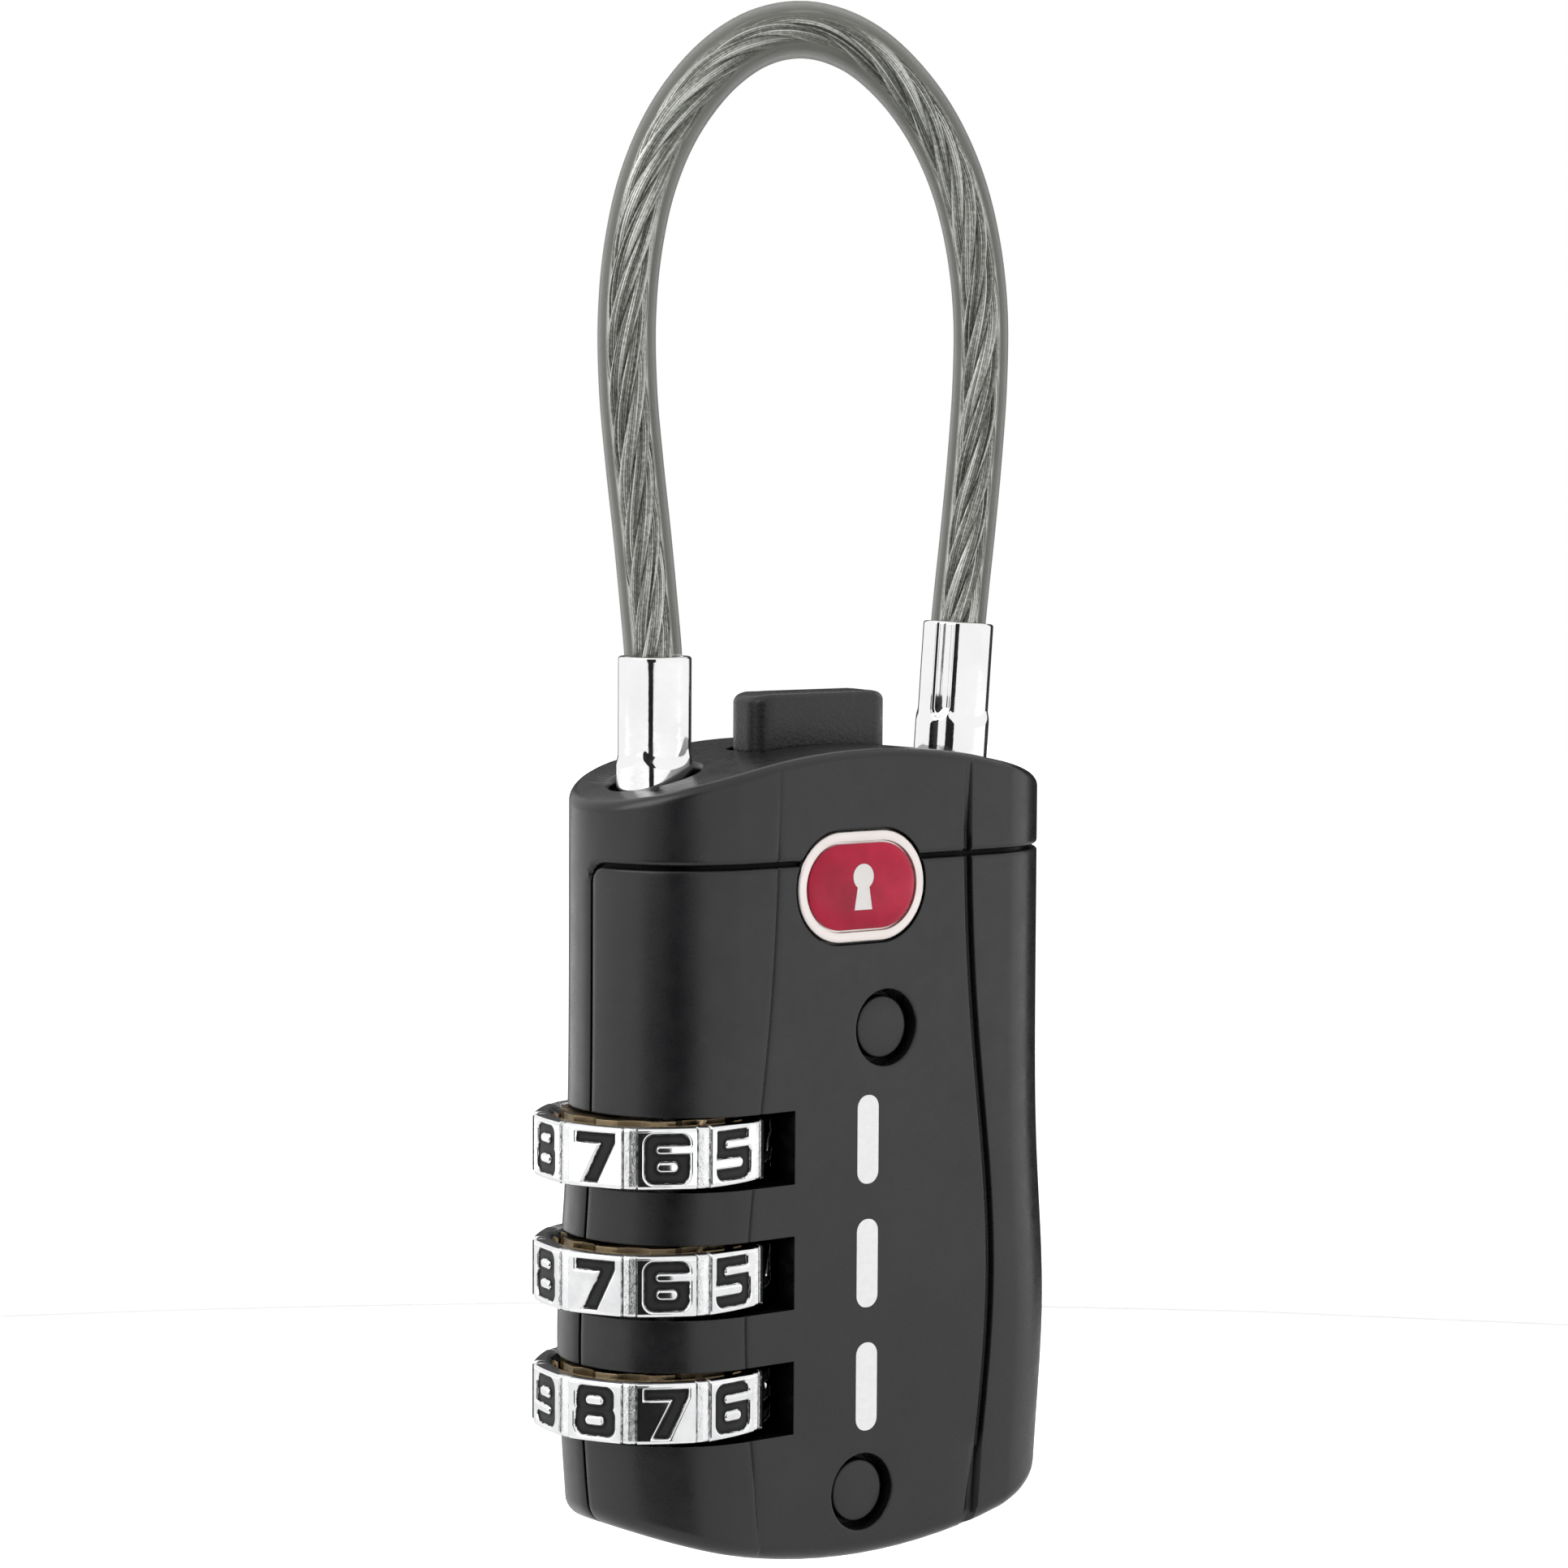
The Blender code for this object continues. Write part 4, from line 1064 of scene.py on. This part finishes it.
def badge():
    """A silver oval with a rolled rim, a domed red enamel field and a plain keyhole on it."""
    low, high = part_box("badge_plate")
    x0, z0, face = (low[0] + high[0]) / 2, (low[2] + high[2]) / 2, low[1]

    def level(inset, y):
        return [(x, y, z) for x, z in badge_outline(inset)]

    roll = 0.16 * MM
    rim = [(0, high[1]), (0, face + roll)]
    rim += [(inset, face + roll - rise) for inset, rise in quarter_round(roll, (20, 40, 60, 90))]
    rim += [(inset, face + y)
            for inset, y in mm((0.5, 0), (0.56, 0.03), (0.6, 0.25), (1.6, 0.25))]
    plate = loft("badge_silver", [level(i, y) for i, y in rim],
                 bright_metal("silver", (0.86, 0.80, 0.77), 0.42, edge=None), 30)
    stand_in(plate, "lock_body", "silver", "badge_plate")
    turn_out(plate)

    dome = [(inset, face + y) for inset, y in mm(
        (0.7, 0.22), (0.7, 0.08), (0.76, 0.03), (1.1, -0.02), (1.7, -0.06), (2.5, -0.08))]
    field = loft("badge_red", [level(i, y) for i, y in dome], enamel_material(), 40)
    turn_out(field)
    stand_in(field, "lock_body", "red_enamel", "badge_enamel")

    head = arc((x0, z0 + 0.55 * MM), 0.72 * MM, -55, 235, 24)
    foot = [(x0 + x, z0 + z) for x, z in mm((-0.62, -1.3), (0.62, -1.3))]
    glyph = prism("badge_keyhole", head + foot, face - 0.11 * MM, face - 0.04 * MM, axis="Y")
    glyph.data.materials.append(matte("white_print", (0.86, 0.83, 0.81), 0.4, 0.01, 900))
    stand_in(glyph, "lock_body", "red_enamel")


def index_marks():
    """Three white printed bars, one level with each dial, where the digits are read."""
    paint = matte("index_paint", (0.97, 0.97, 0.97), 0.5, 0.008, 2500)
    for name, z in DIAL_Z.items():
        outline = rounded_rectangle(1.5 * MM, 5 * MM, 0.7 * MM, 8, (-0.75 * MM, z))
        bar = prism(f"index_mark_{name}", outline, -HALF_DEPTH - 0.03 * MM,
                    -HALF_DEPTH + 0.1 * MM, axis="Y")
        bar.data.materials.append(paint)
        stand_in(bar, "lock_body", "black_cast")


# Dials. Each is one fine skin, sunk where the distance to its digits' outlines says.

# A digit is solid parts less its holes, in millimetres on its pad. A part is a box, (x, z, half
# width, half height, corner), or the corners of an outline.
BOLD = (0, 0, 1.33, 1.41, 0.62)
DIGITS = {
    0: ([BOLD], [(0, 0, 0.6, 0.8, 0.22)]),
    1: ([((-0.55, 1.41), (0.5, 1.41), (0.5, -1.41), (-0.22, -1.41), (-0.22, 0.78),
          (-0.95, 0.62), (-0.95, 1.05))], []),
    2: ([(0.1, 0.38, 1.23, 1.03, 0.62), (-0.3, -0.55, 1.03, 0.86, 0.45),
         (0, -1.08, 1.33, 0.33, 0.1)],
        [(-0.9, 0.53, 1.52, 0.22, 0.2), (0.95, -0.53, 1.58, 0.21, 0.2)]),
    3: ([(0, 0.6, 1.28, 0.81, 0.5), (0, -0.53, 1.33, 0.88, 0.5)],
        [(-0.9, 0.54, 1.52, 0.22, 0.2), (-0.9, -0.53, 1.56, 0.24, 0.2)]),
    4: ([((0.05, 1.41), (0.9, 1.41), (0.9, -0.25), (1.33, -0.25), (1.33, -0.85),
          (0.9, -0.85), (0.9, -1.41), (0.2, -1.41), (0.2, -0.85), (-1.33, -0.85),
          (-1.33, -0.35))],
        [((0.2, 0.55), (0.2, -0.25), (-0.48, -0.25))]),
    5: ([(-0.1, 0.75, 1.2, 0.66, 0.1), (0, -0.4, 1.33, 1.01, 0.6)],
        [(1.0, 0.6, 1.62, 0.2, 0.18), (-1.0, -0.44, 1.62, 0.25, 0.2),
         (1.95, 1.0, 0.75, 0.5, 0.1)]),
    6: ([BOLD], [(0.0, -0.45, 0.57, 0.24, 0.22), (0.95, 0.5, 1.55, 0.2, 0.19)]),
    7: ([((-1.28, 1.38), (1.28, 1.38), (1.28, 0.86), (0.16, -1.41), (-0.84, -1.41),
          (0.3, 0.74), (-1.28, 0.74))], []),
    8: ([(0, 0.64, 1.24, 0.77, 0.5), (0, -0.54, 1.32, 0.87, 0.55)],
        [(0, 0.6, 0.53, 0.21, 0.2), (0, -0.52, 0.56, 0.22, 0.21)]),
    9: ([BOLD], [(0.0, 0.45, 0.57, 0.24, 0.22), (-0.95, -0.5, 1.55, 0.2, 0.19)]),
}
FIVE_AT = {"top": 276.4, "middle": 276.4, "bottom": 312.4}


def box_distance(x, z, cx, cz, half_x, half_z, corner):
    qx, qz = np.abs(x - cx) - (half_x - corner), np.abs(z - cz) - (half_z - corner)
    outside = np.hypot(np.maximum(qx, 0), np.maximum(qz, 0))
    return outside + np.minimum(np.maximum(qx, qz), 0) - corner


def form_distance(x, z, *outline):
    """Signed distance to an outline: less than 0 inside."""
    nearest_edge = np.full_like(x, np.inf)
    inside = np.zeros(x.shape, bool)
    for (x0, z0), (x1, z1) in zip(outline, outline[1:] + outline[:1]):
        dx, dz = x1 - x0, z1 - z0
        t = np.clip(((x - x0) * dx + (z - z0) * dz) / (dx * dx + dz * dz), 0, 1)
        nearest_edge = np.minimum(nearest_edge, np.hypot(x - x0 - t * dx, z - z0 - t * dz))
        if dz:
            inside ^= ((z0 > z) != (z1 > z)) & (x < x0 + (z - z0) * dx / dz)
    return np.where(inside, -nearest_edge, nearest_edge)


def part_distance(x, z, part):
    return (form_distance if isinstance(part[0], tuple) else box_distance)(x, z, *part)


def digit_distance(x, z, digit):
    """Signed distance to a digit's outline: less than 0 inside."""
    solids, holes = DIGITS[digit]
    found = np.min([part_distance(x, z, p) for p in solids], axis=0)
    for hole in holes:
        found = np.maximum(found, -part_distance(x, z, hole))
    return found


# A pad's half width in degrees, how flat it is, and the ink field's value where there is none.
PAD_HALF = 14.0
PAD_FLAT = 0.55
NO_INK = 9.0


def ease(value, start, end):
    """0 up to start, 1 from end on, and even between them."""
    return np.clip((value - start) / (end - start), 0, 1)


def dial_skin(five_at):
    """Angles, heights, radii, ink and cast fields of a dial's outer face, on a fine grid.

    Past a pad's edge the face falls into a joint, climbs out of it and is crowned. Lengths are
    in millimetres inside this function."""
    half, radius = DIAL_HEIGHT / 2 / MM, DIAL_RADIUS / MM
    angle = np.linspace(0, 360, 1100, endpoint=False)
    height = np.linspace(-half, half, 79)
    a, z = np.meshgrid(angle, height)
    place = np.mod((five_at - a) / 36 + 0.5, 10)
    digit = np.floor(place).astype(int)
    off = -(place - digit - 0.5) * 36
    x = np.radians(off) * radius
    past = np.abs(off) - PAD_HALF
    flat = radius * cosd(PAD_HALF) / np.cos(np.radians(np.minimum(np.abs(off), PAD_HALF)))
    fall = ease(past, 0, 0.5)
    r = (1 - PAD_FLAT) * radius + PAD_FLAT * flat
    r = r - 0.28 * fall + 0.16 * ease(past, 0.7, 1.2) + 0.07 * ease(past, 1.1, 4.0)
    ink = np.full_like(a, NO_INK)
    for index in range(10):
        here = (digit == index) & (past < 0)
        ink[here] = digit_distance(x[here], z[here], (5 + index) % 10)
    sunk = ease(ink, 0.05, -0.10)
    r = r - 0.17 * sunk * sunk * (3 - 2 * sunk)
    r = r - 0.24 * (1 - np.sqrt(1 - ease(np.abs(z), half - 0.24, half)**2 * 0.999))
    joint = ease(np.abs(past - 0.6), 0.8, 0)
    ink = np.where(joint > 0, 0.02 - 0.07 * joint, ink)
    return np.radians(angle), height * MM, r * MM, ink, fall


def dials():
    """Each dial: its skin, and a bore with ten notches."""
    chrome = dial_material()
    for name, middle in DIAL_Z.items():
        angle, height, radius, ink, cast = dial_skin(FIVE_AT[name])
        x, y, top = np.cos(angle), np.sin(angle), height[-1]
        notch = 0.11 * np.tanh(6 * np.cos(10 * angle))
        bore = [((r + share * notch) * MM, z) for r, share, z in (
            (5.80, 0, top), (5.72, 0, top - 0.08 * MM), (5.41, 1, top - 0.34 * MM),
            (5.33, 1, -top + 0.05 * MM), (5.61, 1, -top))]
        shape = bmesh.new()
        rows = [[shape.verts.new(p) for p in zip(r * x, r * y, np.full_like(x, z))]
                for r, z in [*zip(radius, height), *bore]]
        skin(shape, rows + rows[:1], caps=False)
        bmesh.ops.transform(shape, matrix=Matrix.Translation((DIAL_X, 0, middle)),
                            verts=shape.verts)
        dial = mesh_object(f"dial_{name}_chrome", shape, chrome, 50)
        for kind, field, rest in (("ink", ink, NO_INK), ("cast", cast, 0.6)):
            carry(dial, kind, np.append(field, np.full(len(bore) * len(angle), rest)))
        stand_in(dial, f"dial_{name}", "chrome", f"dial_{name}")


# Button and ferrules.


def button():
    """A rounded key with a lightly domed top and a pebbled skin, on a flange and a wedge."""
    top, dome_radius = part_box("push_button")[1][2], 24 * MM

    def dome(x):
        return top - dome_radius + sqrt(dome_radius**2 - x**2)

    def level(inset, z=None, drop=0.0):
        outline = rounded_rectangle(9.6 * MM - 2 * inset, 3.2 * MM - 2 * inset,
                                    max(1.25 * MM - inset, 0.4 * MM), 12)
        return [(x, y, dome(x) - drop if z is None else z) for x, y in outline]

    fillet = 0.42 * MM
    rings = [level(0, up(z * MM)) for z in (25.3, 27.0, 29.0)] + [level(0, drop=0.9 * MM)]
    rings += [level(inset, drop=fillet - rise)
              for inset, rise in quarter_round(fillet, range(0, 91, 10))]
    rings += [level(fillet + extra * MM) for extra in (0.15, 0.4, 0.7, 0.95)]
    key = loft("push_button_key", rings)
    turn_out(key)
    flange = prism("flange", rounded_rectangle(10.6 * MM, 4.2 * MM, 1 * MM),
                   up(24.9 * MM), up(FLANGE_TOP))
    wedge = mm((-1.2, 25.2), (-1.2, 19.8), (-0.6, 19.8), (1.2, 21.6), (1.2, 25.2))
    stem = prism("stem", [(x, up(z)) for x, z in wedge], -1.4 * MM, 1.4 * MM, axis="Y")
    for piece in (flange, stem):
        boolean(key, piece, "UNION")
    settle(key, (flange, stem), 40)
    key.data.materials.clear()
    key.data.materials.append(black_paint("button_pebble", 0.11, 5400, 1.0, None))
    keep_flats_flat(key)
    stand_in(key, "button", "black_cast", "push_button")


def crimped(angle, height, crimp):
    """Radius of a ferrule's outside: pressed flats that end in round tongues, and dents.

    The crimp is (height of the step, angle of the flats, dents), and a dent is (angle and half
    width in degrees, low end, high end and depth in millimetres)."""
    step_at, flats_at, dents = crimp
    off = (angle - flats_at + pi / 4) % (pi / 2) - pi / 4
    part = off / (pi / 4)
    end = step_at - 0.5 * MM * sqrt(max(1 - (part / 0.85) ** 2, 0))
    radius = FERRULE_RADIUS - 0.085 * MM * smoothstep((height - end) / (0.6 * MM))
    radius -= 0.04 * MM * smoothstep((height - end) / (0.4 * MM)) * (1 - abs(part)) ** 0.7
    for at, wide, low, high, depth in dents:
        across = (angle - radians(at) + pi) % (tau) - pi
        across = across / radians(wide)
        middle, half = (low + high) / 2 * MM, (high - low) / 2 * MM
        end_on = max(abs(height - middle) - half + 0.8 * MM, 0) / (0.8 * MM)
        radius -= depth * MM * smoothstep((1 - across**2 - end_on**2) * 1.6)
    return radius


def ferrule(name, turn, top, crimp, low, bore_low, foot):
    """A crimped socket with its bore, over a turned foot."""
    steps, step_at = 180, crimp[0]
    angles = [tau * i / steps for i in range(steps)]

    def ring(height, inset=0.0, rise=0.0):
        radii = [crimped(a, height, crimp) - inset for a in angles]
        return [(r * cos(a), r * sin(a), height + rise) for a, r in zip(angles, radii)]

    rings = turned_rings(foot, steps)
    for start, end, count in ((low + 0.5 * MM, step_at - 1.2 * MM, 6),
                              (step_at - 1 * MM, step_at + 0.6 * MM, 32),
                              (step_at + 0.7 * MM, top - 0.2 * MM, 44)):
        rings += [ring(z) for z in np.linspace(start, end, count)]
    rings += [ring(top, inset, rise - FERRULE_LIP)
              for inset, rise in quarter_round(FERRULE_LIP, range(15, 91, 15))]
    mouth = mm((1.68, 0), (1.64, -0.06), (1.64, -0.3), (1.3, -0.36))
    rings += turned_rings([(r, top + z) for r, z in mouth] + [(1.3 * MM, bore_low)], steps)
    obj = loft(name, rings, bright_metal(f"{name}_chrome", (0.93, 0.93, 0.93), 0.07, 0.5,
                                         edge=None, ripple=0.012), 60, turn)
    turn_out(obj)
    return obj


def ferrules():
    """The free one with the groove that the latch holds, and the fixed one, which leans."""
    free = ferrule("free_ferrule_crimped", Matrix.Translation(FREE_PIVOT), 34.05 * MM,
                   (28.4 * MM, radians(256), ()), 23.4 * MM, 29.25 * MM,
                   mm((1.2, 17.9), (1.9, 18.6), (1.9, 19.1), (1.2, 19.1), (1.2, 20.7),
                      (1.9, 20.7), (1.9, 23.2), (2.14, 23.4)))
    stand_in(free, "free_end", "chrome", "free_ferrule")
    fixed = ferrule("fixed_ferrule_crimped",
                    Matrix.Translation(FIXED_PIVOT) @ Matrix.Rotation(FIXED_LEAN, 4, "Y"),
                    FIXED_FERRULE_TOP,
                    (2.2 * MM, radians(262), ((207, 17, 2.0, 9.5, 0.13),)), -0.6 * MM,
                    2.95 * MM,
                    mm((1.75, -7.2), (1.75, -6.7), (1.2, -6.7), (1.2, -5.7), (1.75, -5.7),
                       (1.75, -0.8), (2.14, -0.6)))
    stand_in(fixed, "lock_body", "chrome", "fixed_ferrule")


# Springs that the button squeezes, and the pieces that keep their frame meshes.


def coil_spring(node, axis, turns, wire):
    """A spring with closed ends in its node's place."""
    low, high = (Vector(corner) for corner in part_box(node))
    foot, head = (low + high) / 2, (low + high) / 2
    foot[axis], head[axis] = low[axis], high[axis]
    span = high[axis] - low[axis]
    radius = (high.y - low.y) / 2 - wire
    steps = turns * 24
    line = []
    for i in range(steps + 1):
        share = i / steps
        climb = share - 0.12 * sin(tau * share)
        offset = [radius * cosd(15 * i), radius * sind(15 * i)]
        offset.insert(axis, wire + (span - 2 * wire) * climb)
        line.append(foot + Vector(offset))
    shape = bmesh.new()
    pipe(shape, wire_frames(line), wire, 10)
    finish = bright_metal(f"{node}_wire", (0.62, 0.62, 0.64), 0.28, edge=None)
    spring = mesh_object(f"{node}_coil", shape, finish, 60, outward=True)
    stand_in(spring, "lock_body", "steel", node)
    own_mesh(spring)


def springs():
    """The button's and the latch's."""
    coil_spring("button_spring", 2, 4, 0.15 * MM)
    coil_spring("latch_spring", 0, 6, 0.13 * MM)


def inner_pieces():
    """Better materials for the pieces whose shapes are already right."""
    finishes = {
        "steel": bright_metal("inner_steel", (0.62, 0.62, 0.64), 0.28),
        "brass": bright_metal("inner_brass", (0.26, 0.195, 0.115), 0.30, 0.6),
        "zinc": bright_metal("inner_zinc", (0.52, 0.52, 0.54), 0.45),
    }
    slots_of = {row["node"]: row["material_slot"] for row in frame["record"]["subparts"]}
    for node, obj in frame["nodes"].items():
        finish = finishes.get(slots_of.get(node))
        if finish and obj.material_slots:
            for slot in obj.material_slots:
                slot.material = finish


camera()
cable()
studio()
shells()
rivets()
badge()
index_marks()
dials()
button()
ferrules()
springs()
inner_pieces()

bpy.context.view_layer.update()
